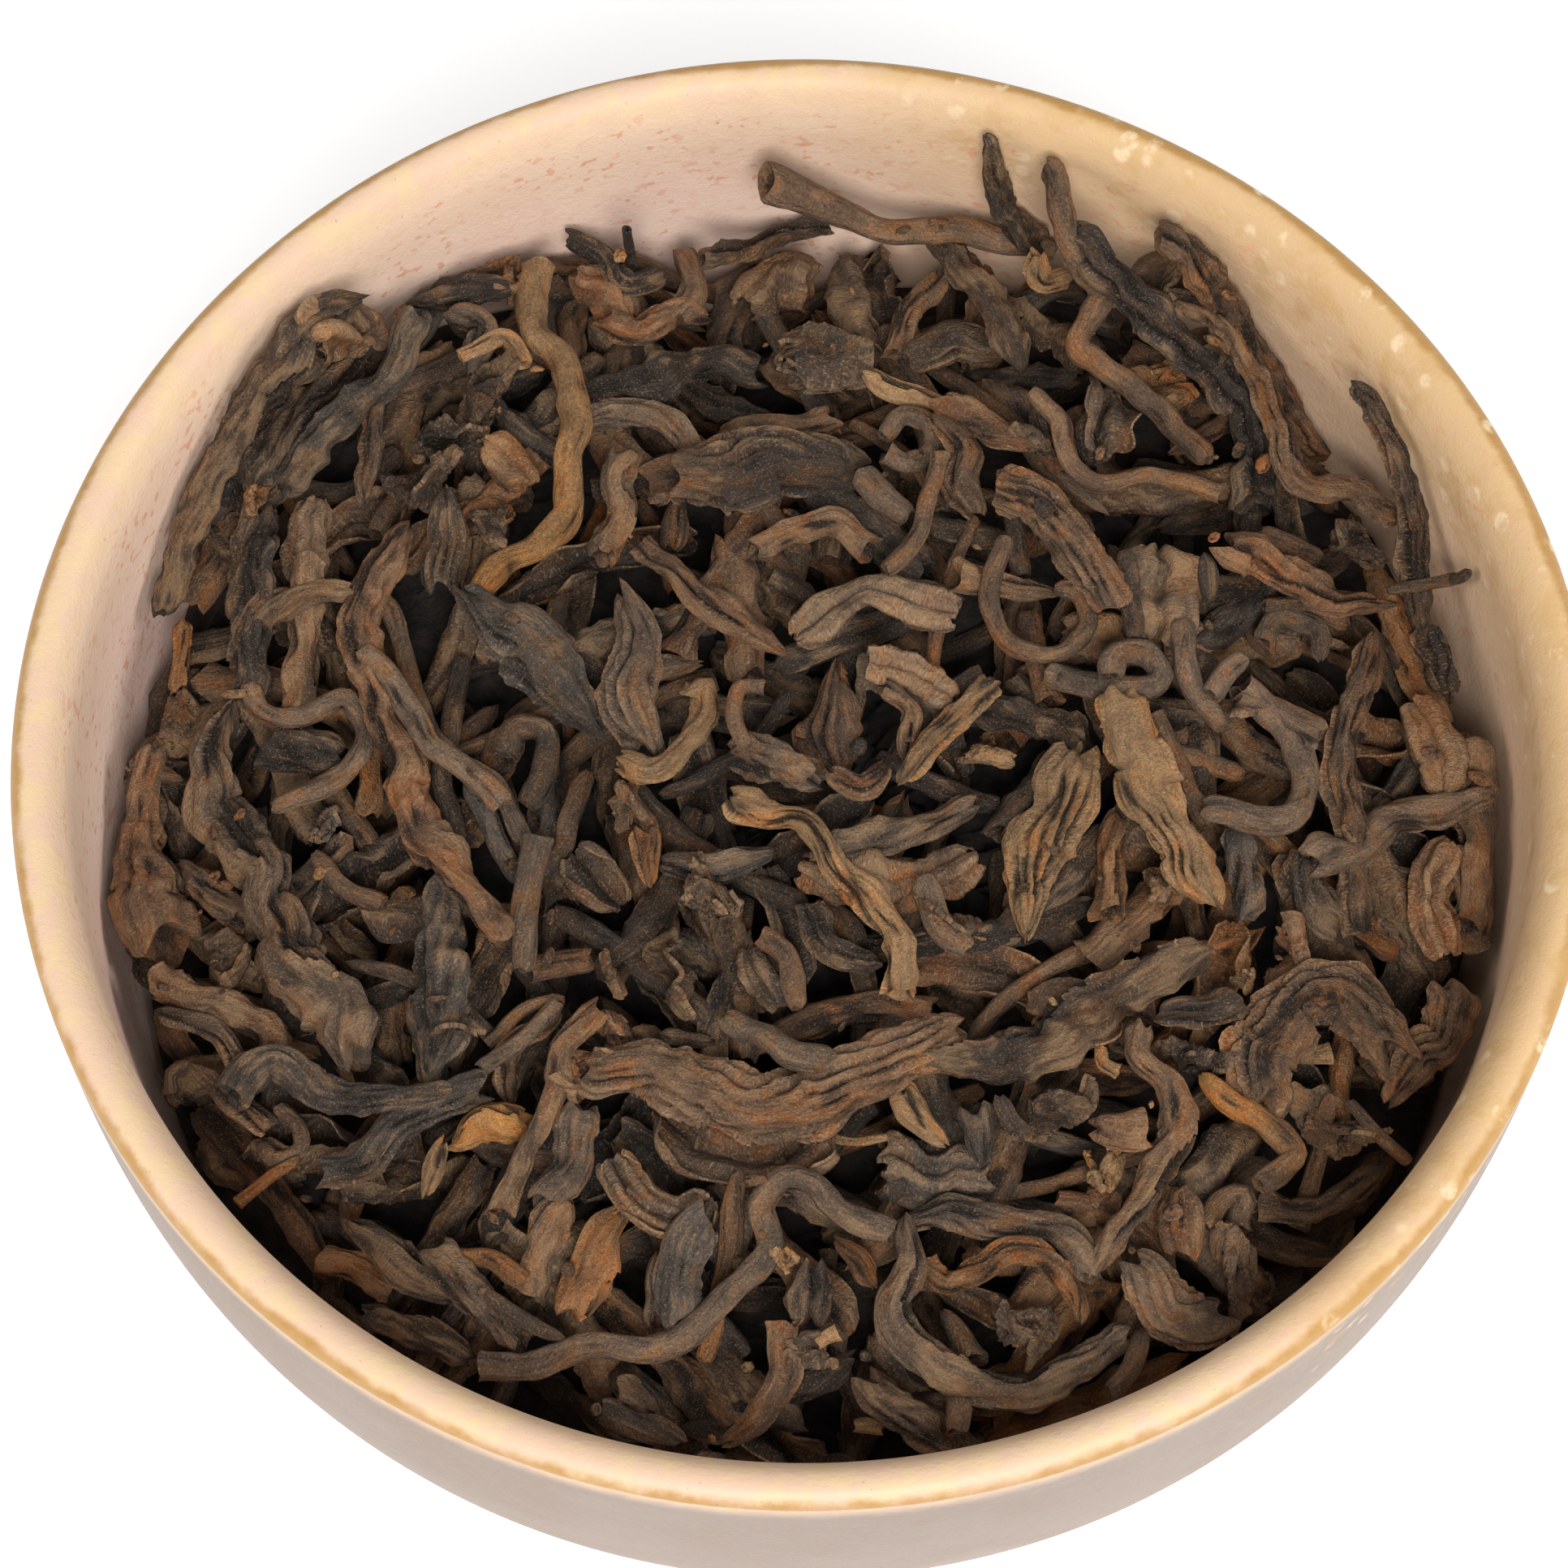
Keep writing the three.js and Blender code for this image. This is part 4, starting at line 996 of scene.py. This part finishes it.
def add_sheet(batch, laid, rng, columns, bend, pleats, pleat_depth, thickness, rag, bank):
    """A folded or curled leaf: a thin wavy sheet that bends across its width."""
    rows = len(laid.along)
    along = laid.along[:, None]
    u = np.linspace(-1, 1, columns)[None, :]
    left = 1 + 0.6 * rag * waves(rng, along, 2.2) + 1.3 * rag * waves(rng, along, 6)
    right = 1 + 0.6 * rag * waves(rng, along, 1.9) + 1.3 * rag * waves(rng, along, 5)
    reach = u * np.where(u < 0, left, right)
    bending = bend * (1 + 0.4 * waves(rng, along, 8))
    drift = 0.8 * waves(rng, along, 12) + 0.1 * waves(rng, along, 3.6)
    slope = bending * reach
    slope += pleat_depth * np.tanh(2.2 * np.sin(math.pi * pleats * reach + drift))
    slope += 0.45 * pleat_depth * np.tanh(3 * np.sin(math.pi * 2.6 * pleats * reach + 1.4 * drift))
    slope += 0.3 * (0.5 - np.abs(ripples(rng, reach * 2.4, along, 5, 0.8)))
    gaps = np.diff(reach, axis=1)
    middles = (slope[:, 1:] + slope[:, :-1]) / 2
    zero = np.zeros((rows, 1))
    wide = np.hstack([zero, np.cumsum(np.cos(middles) * gaps, axis=1)])
    high = np.hstack([zero, np.cumsum(np.sin(middles) * gaps, axis=1)])
    wide -= (wide.max(axis=1, keepdims=True) + wide.min(axis=1, keepdims=True)) / 2
    high -= high.mean(axis=1, keepdims=True)
    span = np.ptp(wide, axis=1)
    span = np.convolve(np.pad(span, 3, "edge"), np.ones(7) / 7, "valid")
    ends = laid.end_distance()
    start, finish = rng.uniform(0.35, 0.8, 2)
    share = laid.along / laid.along[-1]
    least = start + (finish - start) * share
    taper = least + (1 - least) * np.sqrt(1 - (1 - np.clip(ends / (laid.half * 1.5), 0, 1)) ** 2)
    scale = (2 * laid.half * taper / span)[:, None]
    wide *= scale
    high = high * scale + 0.12 * laid.half[:, None] * waves(rng, along, 4.6)
    lean = (bank * (0.5 * rng.normal() + waves(rng, laid.along, 13)))[:, None]
    across_wave = np.repeat(u, rows, axis=0)
    torn = rag * laid.half[:, None] * (waves(rng, across_wave, 1.6) + waves(rng, across_wave, 0.6))
    thin = thickness / 2 * (1 - 0.5 * np.abs(u) ** 3) + 0 * slope
    faces = []
    for side in (1, -1):
        w = wide - side * thin * np.sin(slope)
        h = high + side * thin * np.cos(slope)
        faces.append(laid.placed(w, h, lean, laid.frayed(torn)))
    # The higher parts of the sheet get a painted highlight and its troughs painted shade
    rise = high - high.min()
    relief = np.clip(0.2 + 0.9 * rise / max(np.ptp(high), 0.5), 0, 1)
    spread = laid.half[:, None] * reach
    grain = np.stack([spread, 0.3 * high, along + 0 * u], axis=-1)
    add_grid(batch, faces, relief, grain, np.repeat(laid.colour, columns, axis=0), rng)


def add_grid(batch, faces, relief, grain, colour, rng):
    """Closes two faces of a sheet, each a grid of points, into a thin solid."""
    rows, columns = relief.shape
    under = rows * columns
    at = np.arange(under).reshape(rows, columns)
    top = np.stack([at[:-1, :-1], at[:-1, 1:], at[1:, 1:], at[1:, :-1]], axis=-1).reshape(-1, 4)
    rim = np.concatenate([at[0, :-1], at[:-1, -1], at[-1, :0:-1], at[:0:-1, 0]])
    after = np.roll(rim, -1)
    edge = np.column_stack([after, rim, rim + under, after + under])
    grain = grain.reshape(-1, 3) + grain_shift(rng)
    batch.add(
        np.vstack([face.reshape(-1, 3) for face in faces]),
        np.vstack([top, top[:, ::-1] + under, edge]),
        np.zeros((0, 3), int),
        np.vstack([colour, colour]),
        np.concatenate([relief.ravel(), relief.ravel()]),
        np.vstack([grain, grain]),
    )


def add_crumple(batch, middle, radii, colour, rng, count):
    """A crumpled leaf: a sheet that is folded back on itself again and again."""
    places = np.linspace(-1, 1, count)
    u, v = np.meshgrid(places, places)
    shrink = 1 - 0.2 * (u * v) ** 2
    edge = 1 + 0.08 * waves(rng, 3 * u + 5 * v, 2.1)
    flat = np.stack([2.2 * u * shrink * edge, 1.8 * v * shrink * edge, 0 * u], axis=-1)
    sheet = flat.copy()
    sheet[..., 2] = 0.3 * waves(rng, u + 0.6 * v, 1.3) + 0.3 * waves(rng, v - 0.5 * u, 1.1)
    for _ in range(CRUMPLE_FOLDS):
        way = unit(rng.normal(size=3) * [1, 1, 0.8])
        over = np.maximum(sheet @ way - rng.uniform(0.12, 0.62), 0)
        sheet -= rng.uniform(1.45, 1.85) * over[..., None] * way
    sheet -= (sheet.max(axis=(0, 1)) + sheet.min(axis=(0, 1))) / 2
    reach = np.abs(sheet).max(axis=(0, 1))
    turn = rng.uniform(0, TAU)
    cos, sin = math.cos(turn), math.sin(turn)
    sheet = sheet / reach * radii
    sheet = sheet @ np.array([[cos, sin, 0], [-sin, cos, 0], [0, 0, 1]])
    normal = np.cross(np.gradient(sheet, axis=0), np.gradient(sheet, axis=1))
    for _ in range(2):
        padded = np.pad(unit(normal), ((1, 1), (1, 1), (0, 0)), "edge")
        normal = padded[:-2, 1:-1] + padded[2:, 1:-1] + padded[1:-1, :-2] + padded[1:-1, 2:]
    offset = unit(normal) * SHEET_THICKNESS / 2
    # The outer parts of the crumpled leaf get a painted highlight and its middle painted shade
    outward = np.linalg.norm(sheet / radii, axis=-1)
    relief = np.clip(0.1 + 0.85 * outward, 0, 1)
    grain = flat * radii.max()
    faces = [middle + sheet + offset, middle + sheet - offset]
    add_grid(batch, faces, relief, grain, np.broadcast_to(colour, (count * count, 3)), rng)


def add_ball(batch, middle, radii, colour, rng, sides, rings):
    """A crumpled scrap: a knob with deep creases in every direction."""
    around = np.arange(sides) * TAU / sides
    down = (np.arange(1, rings) * math.pi / rings)[:, None]
    ways = np.stack(
        [np.sin(down) * np.cos(around), np.sin(down) * np.sin(around), np.cos(down) + 0 * around],
        axis=-1,
    )
    ways = np.vstack([ways.reshape(-1, 3), [[0, 0, 1], [0, 0, -1]]])
    shape = np.zeros(len(ways))
    weight = 0.0
    for size in (1.0, 0.8, 0.6, 0.5, 0.35, 0.3):
        pull = unit(rng.normal(size=3)) * rng.uniform(1.6, 3.4) / size**0.6
        shape += size * np.abs(np.sin(ways @ pull + rng.uniform(0, TAU)))
        weight += size
    shape = 0.62 + 0.62 * shape / weight
    tilt = rng.uniform(0, TAU)
    cos, sin = math.cos(tilt), math.sin(tilt)
    turn = np.array([[cos, -sin, 0], [sin, cos, 0], [0, 0, 1]])
    local = ways * shape[:, None] * radii
    points = local @ turn.T + middle
    quads, triangles = ring_faces(rings - 1, sides)
    # Knobs get a painted highlight and creases painted shade
    relief = np.clip(0.5 + (shape - shape.mean()) * 2.2, 0, 1)
    batch.add(points, quads, triangles, colour, relief, local + grain_shift(rng))


# Where the pieces lie


def edge_height(angle):
    """Height of the top of the tea along the wall."""
    degrees = np.degrees(angle)
    angles, depths = zip(*EDGE_DEPTHS)
    return BOWL_HEIGHT - np.interp(degrees, angles, depths)


def heap_height(x, y):
    """Height that the tops of the highest leaves reach: the heap falls towards the wall."""
    rim = np.minimum(edge_height(np.arctan2(y, x)) + EDGE_RISE, HEAP_TOP)
    share = np.clip(np.hypot(x, y) / inner_radius(HEAP_TOP), 0, 1)
    return HEAP_TOP + (rim - HEAP_TOP) * share**HEAP_POWER


def core_height(x, y):
    """Height of the core under the leaves."""
    return np.maximum(heap_height(x, y) - CORE_DEPTH, LOWEST_CORE)


class HeapMap:
    """Height of the heap as it grows, on square cells."""

    def __init__(self):
        self.count = int(2 * RIM_RADIUS / CELL) + 1
        places = -RIM_RADIUS + np.arange(self.count) * CELL
        self.cells = core_height(places[None, :], places[:, None])

    def cell(self, places):
        return np.clip(np.rint((places + RIM_RADIUS) / CELL).astype(int), 0, self.count - 1)

    def top(self, x, y, reach):
        """Highest cell within reach of each place."""
        highest = np.full(len(x), -np.inf)
        for share, ways in ((0.0, 1), (0.5, 6), (1.0, 10)):
            for way in range(ways):
                angle = TAU * way / ways
                column = self.cell(x + share * reach * math.cos(angle))
                row = self.cell(y + share * reach * math.sin(angle))
                highest = np.maximum(highest, self.cells[row, column])
        return highest

    def cover(self, x, y, half, height, thick):
        """Raises the cells under a piece to its upper side."""
        span = int(math.ceil(half.max() / CELL))
        for rows in range(-span, span + 1):
            for columns in range(-span, span + 1):
                away = math.hypot(rows, columns) * CELL / np.maximum(half, CELL)
                near = away <= 1
                drop = thick * (1 - np.sqrt(np.clip(1 - away**2, 0, 1)))
                row = self.cell(y)[near] + rows
                column = self.cell(x)[near] + columns
                inside = (row >= 0) & (row < self.count) & (column >= 0) & (column < self.count)
                raised = (height + thick - drop)[near][inside]
                np.maximum.at(self.cells, (row[inside], column[inside]), raised)


def bridged(ground, along):
    """The line of a stiff piece on uneven ground: it spans what is too narrow for it to sink into."""
    droop = STIFFNESS / 2 * (along[:, None] - along[None, :]) ** 2
    over = (ground[None, :] - droop).max(axis=1)
    line = (over[None, :] + droop).min(axis=1)
    kernel = np.exp(-(((along[:, None] - along[None, :]) / 1.3) ** 2))
    return (kernel @ line) / kernel.sum(axis=1)


def camera_place():
    """Where the camera stands, and the way back to it from what it looks at."""
    back = np.array([0, -math.cos(CAMERA_RISE), math.sin(CAMERA_RISE)])
    return CAMERA_TARGET + back * CAMERA_DISTANCE, back


def sight(places, heights):
    """Points at these heights that the camera sees where the places lie on the reading plane."""
    eye, _ = camera_place()
    cos, sin = math.cos(READING_TURN), math.sin(READING_TURN)
    x = READING_SCALE * (places[:, 0] * cos - places[:, 1] * sin) + READING_SHIFT[0]
    y = READING_SCALE * (places[:, 0] * sin + places[:, 1] * cos) + READING_SHIFT[1]
    plane = BOWL_HEIGHT - READING_DEPTH
    share = (heights - eye[2]) / (plane - eye[2])
    return np.column_stack([eye[0] + (x - eye[0]) * share, eye[1] + (y - eye[1]) * share, heights])


def kept_inside(points, half, thick):
    """The points moved inwards where the piece would touch the wall."""
    radius = np.hypot(points[:, 0], points[:, 1])
    low = np.minimum(points[:, 2] - thick, LIP_BASE - 1)
    limit = inner_radius(low) - GAP - half * 1.1
    share = np.minimum(1, limit / np.maximum(radius, 1e-6))
    return np.column_stack([points[:, 0] * share, points[:, 1] * share, points[:, 2]])


def lay(heap, places, half, thick, lift, colour, seen):
    """Lays a piece on the heap. seen says that its places are on the reading plane."""
    drop = 0 if seen else BED_DROP
    along = along_path(places)
    share = along / along[-1]
    heights = np.full(len(places), BOWL_HEIGHT - READING_DEPTH)
    for _ in range(3):
        points = sight(places, heights) if seen else np.column_stack([places, heights])
        points = kept_inside(points, half, thick)
        ground = heap.top(points[:, 0], points[:, 1], half * 0.72)
        heights = bridged(ground, along) + thick - SINK
        ceiling = heap_height(points[:, 0], points[:, 1]) - thick - drop
        heights = np.minimum(heights, ceiling) + lift * (1 - share) ** 2
        heights = np.minimum(heights, LEANING_TOP - thick)
    points = sight(places, heights) if seen else np.column_stack([places, heights])
    points = kept_inside(points, half, thick)
    heap.cover(points[:, 0], points[:, 1], half, points[:, 2], thick)
    return Laid(points, half, thick, colour)


# Kinds of pieces

# Width at the very end, how far the change reaches in half widths, and how hollow the end is
END_SHAPES = {
    "cut": (0.82, 0.8, 0.7),
    "blunt": (0.55, 1.2, 0.25),
    "pointed": (0.16, 3.6, 0.0),
    "flared": (1.18, 2.0, 0.9),
}
FORMS = {
    "leaf": {
        "roll": 0.36, "spiral": 0.05, "folds": 3, "fold_depth": 0.34, "ribs": 9, "rib_depth": 0.2,
        "crinkle": 0.12, "lump": 0.09, "pinch": 0.12, "bank": 0.5, "rag": 0.22,
        "ends": (0.3, 0.25, 0.35, 0.1),
    },
    "fan": {
        "roll": 0.14, "spiral": 0.02, "folds": 2, "fold_depth": 0.25, "ribs": 12, "rib_depth": 0.5,
        "crinkle": 0.10, "lump": 0.06, "pinch": 0.08, "bank": 0.3, "rag": 0.3,
        "ends": (0.4, 0.3, 0.3, 0.0),
    },
    "stem": {
        "roll": 0.05, "spiral": 0.04, "folds": 2, "fold_depth": 0.16, "ribs": 6, "rib_depth": 0.08,
        "crinkle": 0.05, "lump": 0.05, "pinch": 0.07, "bank": 0.2, "rag": 0.1,
        "ends": (0.5, 0.25, 0.1, 0.15),
    },
}
FLATNESS = {"leaf": 0.66, "fan": 0.45, "stem": 0.88, "fold": 0.36}


def mixed(names, shares, rng):
    """Colour along a piece, from one or more names joined by >."""
    tones = np.array([linear(TEA_COLOURS[name]) for name in names.split(">")])
    tones = tones * rng.uniform(0.74, 1.24)
    places = np.linspace(0, 1, len(tones))
    return np.column_stack([np.interp(shares, places, tones[:, k]) for k in range(3)])


def add_piece(batches, kind, laid, rng, fine):
    """One piece of tea, into the batch of its kind."""
    if kind == "fold" or (kind == "leaf" and not fine and rng.random() < 0.35):
        add_sheet(
            batches["fold"] if fine else batches["bed"],
            laid,
            rng,
            SHEET_COLUMNS if fine else BED_SHEET_COLUMNS,
            bend=rng.choice([-1, 1], p=[0.7, 0.3]) * rng.uniform(0.9, 2.2),
            pleats=rng.uniform(1.8, 3.4),
            pleat_depth=rng.uniform(0.55, 1.0),
            thickness=SHEET_THICKNESS,
            rag=0.13,
            bank=0.5,
        )
        return
    if not fine:
        add_tube(batches["stem" if kind == "stem" else "bed"], laid, rng, BED_SIDES, FORMS[kind])
    elif kind == "stem":
        add_tube(batches["stem"], laid, rng, STEM_SIDES, FORMS[kind])
    else:
        sides = int(np.clip(LEAF_SIDES_BASE + LEAF_SIDES_FOR_WIDTH * laid.half.max(), *LEAF_SIDES))
        long = kind == "fan" or laid.along[-1] > LONG_LEAF
        add_tube(batches["long" if long else "leaf"], laid, rng, sides, FORMS[kind])


def shown_rows():
    """The pieces of the table, the lowest layer first, each with its number."""
    rows = []
    joined = SHOWN_PIECES.strip().replace("\n ", " ")
    for number, line in enumerate(joined.splitlines()):
        facts, points = line.split("|")
        kind, layer, colour, width, lift = facts.split()
        widths = [float(part) for part in width.split(">")]
        places = [[float(part) for part in pair.split(",")] for pair in points.split()]
        rows.append((int(layer), number, kind, colour, widths, float(lift), places))
    return sorted(rows, key=lambda row: row[0])


def lay_crumple(heap, batch, width, colour, lift, place, rng):
    """A crumpled leaf is laid as a short level piece about its middle."""
    half = np.full(3, width / 2)
    places = np.array([[0.3, 0], [0, 0], [-0.3, 0]]) + place
    tones = mixed(colour, np.zeros(3), rng)
    laid = lay(heap, places, half, half * 0.75, lift, tones, True)
    radii = half[0] * np.array([1.15, 0.95, 0.8])
    add_crumple(batch, laid.path[1], radii, tones[1], rng, CRUMPLE_COLUMNS)


def lay_shown(heap, batches):
    """The pieces that show, each with random draws of its own."""
    for _, number, kind, colour, widths, lift, places in shown_rows():
        rng = np.random.default_rng([SHOWN_SEED, number])
        if kind == "ball":
            lay_crumple(heap, batches["ball"], widths[0], colour, lift, places[0], rng)
            continue
        step = STEP * (0.75 if kind in ("leaf", "fan") else 1)
        places = curve_through(places, step)
        along = along_path(places)
        share = along / along[-1]
        widths = np.interp(share, np.linspace(0, 1, len(widths)), widths)
        half = widths / 2 * (1 + 0.09 * waves(rng, along, 6))
        sway = 0.16 if kind == "stem" else 0.1
        normal = np.gradient(places, axis=0)[:, ::-1] * [-1, 1]
        places = places + unit(normal) * (sway * half * waves(rng, along, 5))[:, None]
        laid = lay(heap, places, half, half * FLATNESS[kind], lift, mixed(colour, share, rng), True)
        add_piece(batches, kind, laid, rng, True)


def lay_bed(heap, batches, rng):
    """Leaves and stems in all directions under the ones that show, painted darker as shade."""
    golden = math.pi * (3 - math.sqrt(5))
    reach = inner_radius(BED_HEIGHT) - 2
    order = rng.permutation(BED_COUNT)
    for i in order:
        radius = reach * math.sqrt((i + 0.5) / BED_COUNT)
        middle = np.array([radius * math.cos(i * golden), radius * math.sin(i * golden)])
        middle += rng.normal(0, 0.8, 2)
        kind = rng.choice(["leaf", "stem"], p=[0.76, 0.24])
        length = rng.uniform(*BED_LENGTHS)
        width = rng.uniform(*BED_WIDTHS[kind])
        heading = rng.uniform(0, TAU)
        turn = rng.normal(0, 0.5)
        shares = np.linspace(-0.5, 0.5, 5)
        headings = heading + turn * shares
        steps = np.column_stack([np.cos(headings), np.sin(headings)]) * length / 4
        places = middle + np.cumsum(steps, axis=0) - steps.sum(axis=0) / 2
        places = curve_through(places, STEP * 1.7)
        along = along_path(places)
        share = along / along[-1]
        half = width / 2 * (1 + 0.1 * waves(rng, along, 6))
        name = rng.choice(list(BED_COLOURS), p=list(BED_COLOURS.values()))
        # The lower leaves are painted darker, as shade under the ones that show
        tones = mixed(name, share, rng) * BED_PAINTED_SHADE
        laid = lay(heap, places, half, half * FLATNESS[kind], 0.0, tones, False)
        add_piece(batches, kind, laid, rng, False)


def add_crumbs(heap, batch, rng):
    """Broken bits of leaf that lie in the gaps and on the leaves."""
    for _ in range(CRUMB_COUNT):
        radius = (inner_radius(BED_HEIGHT) - 2) * math.sqrt(rng.random())
        angle = rng.uniform(0, TAU)
        x = np.array([radius * math.cos(angle)])
        y = np.array([radius * math.sin(angle)])
        size = rng.uniform(*CRUMB_SIZES) ** 1.3
        height = heap.top(x, y, np.array([size * 0.3]))[0] + size * 0.05
        name = rng.choice(list(CRUMB_COLOURS), p=list(CRUMB_COLOURS.values()))
        tone = mixed(name, np.zeros(1), rng)[0]
        radii = size * np.array([rng.uniform(0.8, 1.6), rng.uniform(0.5, 0.9), 0.4])
        middle = np.array([x[0], y[0], height])
        add_ball(batch, middle, radii, tone, rng, CRUMB_SIDES, CRUMB_RINGS)


def make_core():
    """The dark mass under the leaves, which fills the bowl below them."""
    rng = np.random.default_rng(CORE_SEED)
    angles = np.arange(CORE_SIDES) * TAU / CORE_SIDES
    edge = core_height(RIM_RADIUS * np.cos(angles), RIM_RADIUS * np.sin(angles))
    top_radius = inner_radius(edge) - GAP
    rings = []
    for i in range(1, CORE_RINGS + 1):
        radius = top_radius * i / CORE_RINGS
        x = radius * np.cos(angles)
        y = radius * np.sin(angles)
        bumps = np.clip(rng.normal(0, 0.7, CORE_SIDES), -1.2, 0.8) if i < CORE_RINGS else 0.0
        rings.append(np.column_stack([x, y, core_height(x, y) + bumps]))
    for i in range(CORE_WALL_STEPS - 1, -1, -1):
        low = FLOOR_HEIGHT + GAP
        height = low + (edge - low) * (i / CORE_WALL_STEPS) ** BELLY_ROUNDNESS
        radius = inner_radius(height - GAP) - GAP
        rings.append(np.column_stack([radius * np.cos(angles), radius * np.sin(angles), height]))
    points = np.vstack([*rings, [[0, 0, core_height(0.0, 0.0)]], [[0, 0, FLOOR_HEIGHT + GAP]]])
    quads, triangles = ring_faces(len(rings), CORE_SIDES)
    batch = Batch()
    relief = np.full(len(points), 0.5)
    batch.add(points, quads, triangles, linear((40, 30, 24)), relief, points)
    batch.piece("tea_core", core_material())


def make_tea():
    """The heap on its core, one joined mesh for each kind of piece."""
    leaf = tea_material("rolled_leaf", dust=0.3, wrinkle=0.6, fibre=0.8)
    stalk = tea_material("tea_stem", dust=0.25, wrinkle=0.5, fibre=1.0)
    names = {
        "bed": ("lower_leaves", leaf),
        "bed_stems": ("lower_stems", stalk),
        "leaf": ("rolled_leaves", leaf),
        "long": ("long_twisted_leaves", leaf),
        "fold": ("folded_leaves", leaf),
        "stem": ("stems_and_curls", stalk),
        "ball": ("crumpled_leaves", leaf),
        "crumb": ("leaf_crumbs", leaf),
    }
    heap = HeapMap()
    batches = {key: Batch() for key in names}
    under = {**batches, "stem": batches["bed_stems"]}
    lay_bed(heap, under, np.random.default_rng(BED_SEED))
    lay_shown(heap, batches)
    add_crumbs(heap, batches["crumb"], np.random.default_rng(CRUMB_SEED))
    for key, (name, material) in names.items():
        batches[key].piece(name, material)


# Camera, floor and light


def make_camera():
    """The photograph's view: from the front and high above, with a slight roll."""
    data = bpy.data.cameras.new("camera")
    data.sensor_width = SENSOR
    data.lens = FOCAL_PIXELS / IMAGE_SIDE * SENSOR
    data.clip_start = 0.01
    camera = bpy.data.objects.new("camera", data)
    bpy.context.scene.collection.objects.link(camera)
    place, back = camera_place()
    level = np.array([1.0, 0, 0])
    over = np.cross(back, level)
    right = math.cos(CAMERA_ROLL) * level + math.sin(CAMERA_ROLL) * over
    top = math.cos(CAMERA_ROLL) * over - math.sin(CAMERA_ROLL) * level
    matrix = np.eye(4)
    matrix[:3, :3] = np.column_stack([right, top, back])
    matrix[:3, 3] = place * MM
    camera.matrix_world = matrix.T.tolist()
    bpy.context.scene.camera = camera


def make_floor():
    """The pale ground that the bowl stands on."""
    bpy.ops.object.select_all(action="DESELECT")
    bpy.ops.mesh.primitive_plane_add(size=FLOOR_SIDE)
    floor = bpy.context.object
    floor.name = "floor"
    floor.data.materials.append(floor_material())


def make_light(name, place, size, power):
    """A round softbox that looks at the bowl."""
    data = bpy.data.lights.new(name, "AREA")
    data.shape = "DISK"
    data.size = size
    data.energy = power
    light = bpy.data.objects.new(name, data)
    bpy.context.scene.collection.objects.link(light)
    back = unit(np.array(place, float))
    level = unit(np.cross(UP, back) + np.array([1e-6, 0, 0]))
    matrix = np.eye(4)
    matrix[:3, :3] = np.column_stack([level, np.cross(back, level), back])
    matrix[:3, 3] = place
    light.matrix_world = matrix.T.tolist()


def make_sky():
    """Even light from all round."""
    world = bpy.data.worlds.new("soft_room")
    world.use_nodes = True
    background = world.node_tree.nodes["Background"]
    background.inputs["Color"].default_value = (1, 1, 1, 1)
    background.inputs["Strength"].default_value = SKY_STRENGTH
    bpy.context.scene.world = world


make_camera()
make_floor()
for name, (place, size, power) in SOFTBOXES.items():
    make_light(name, place, size, power)
make_sky()
bpy.context.scene.view_settings.view_transform = "Standard"

make_bowl()
make_core()
make_tea()
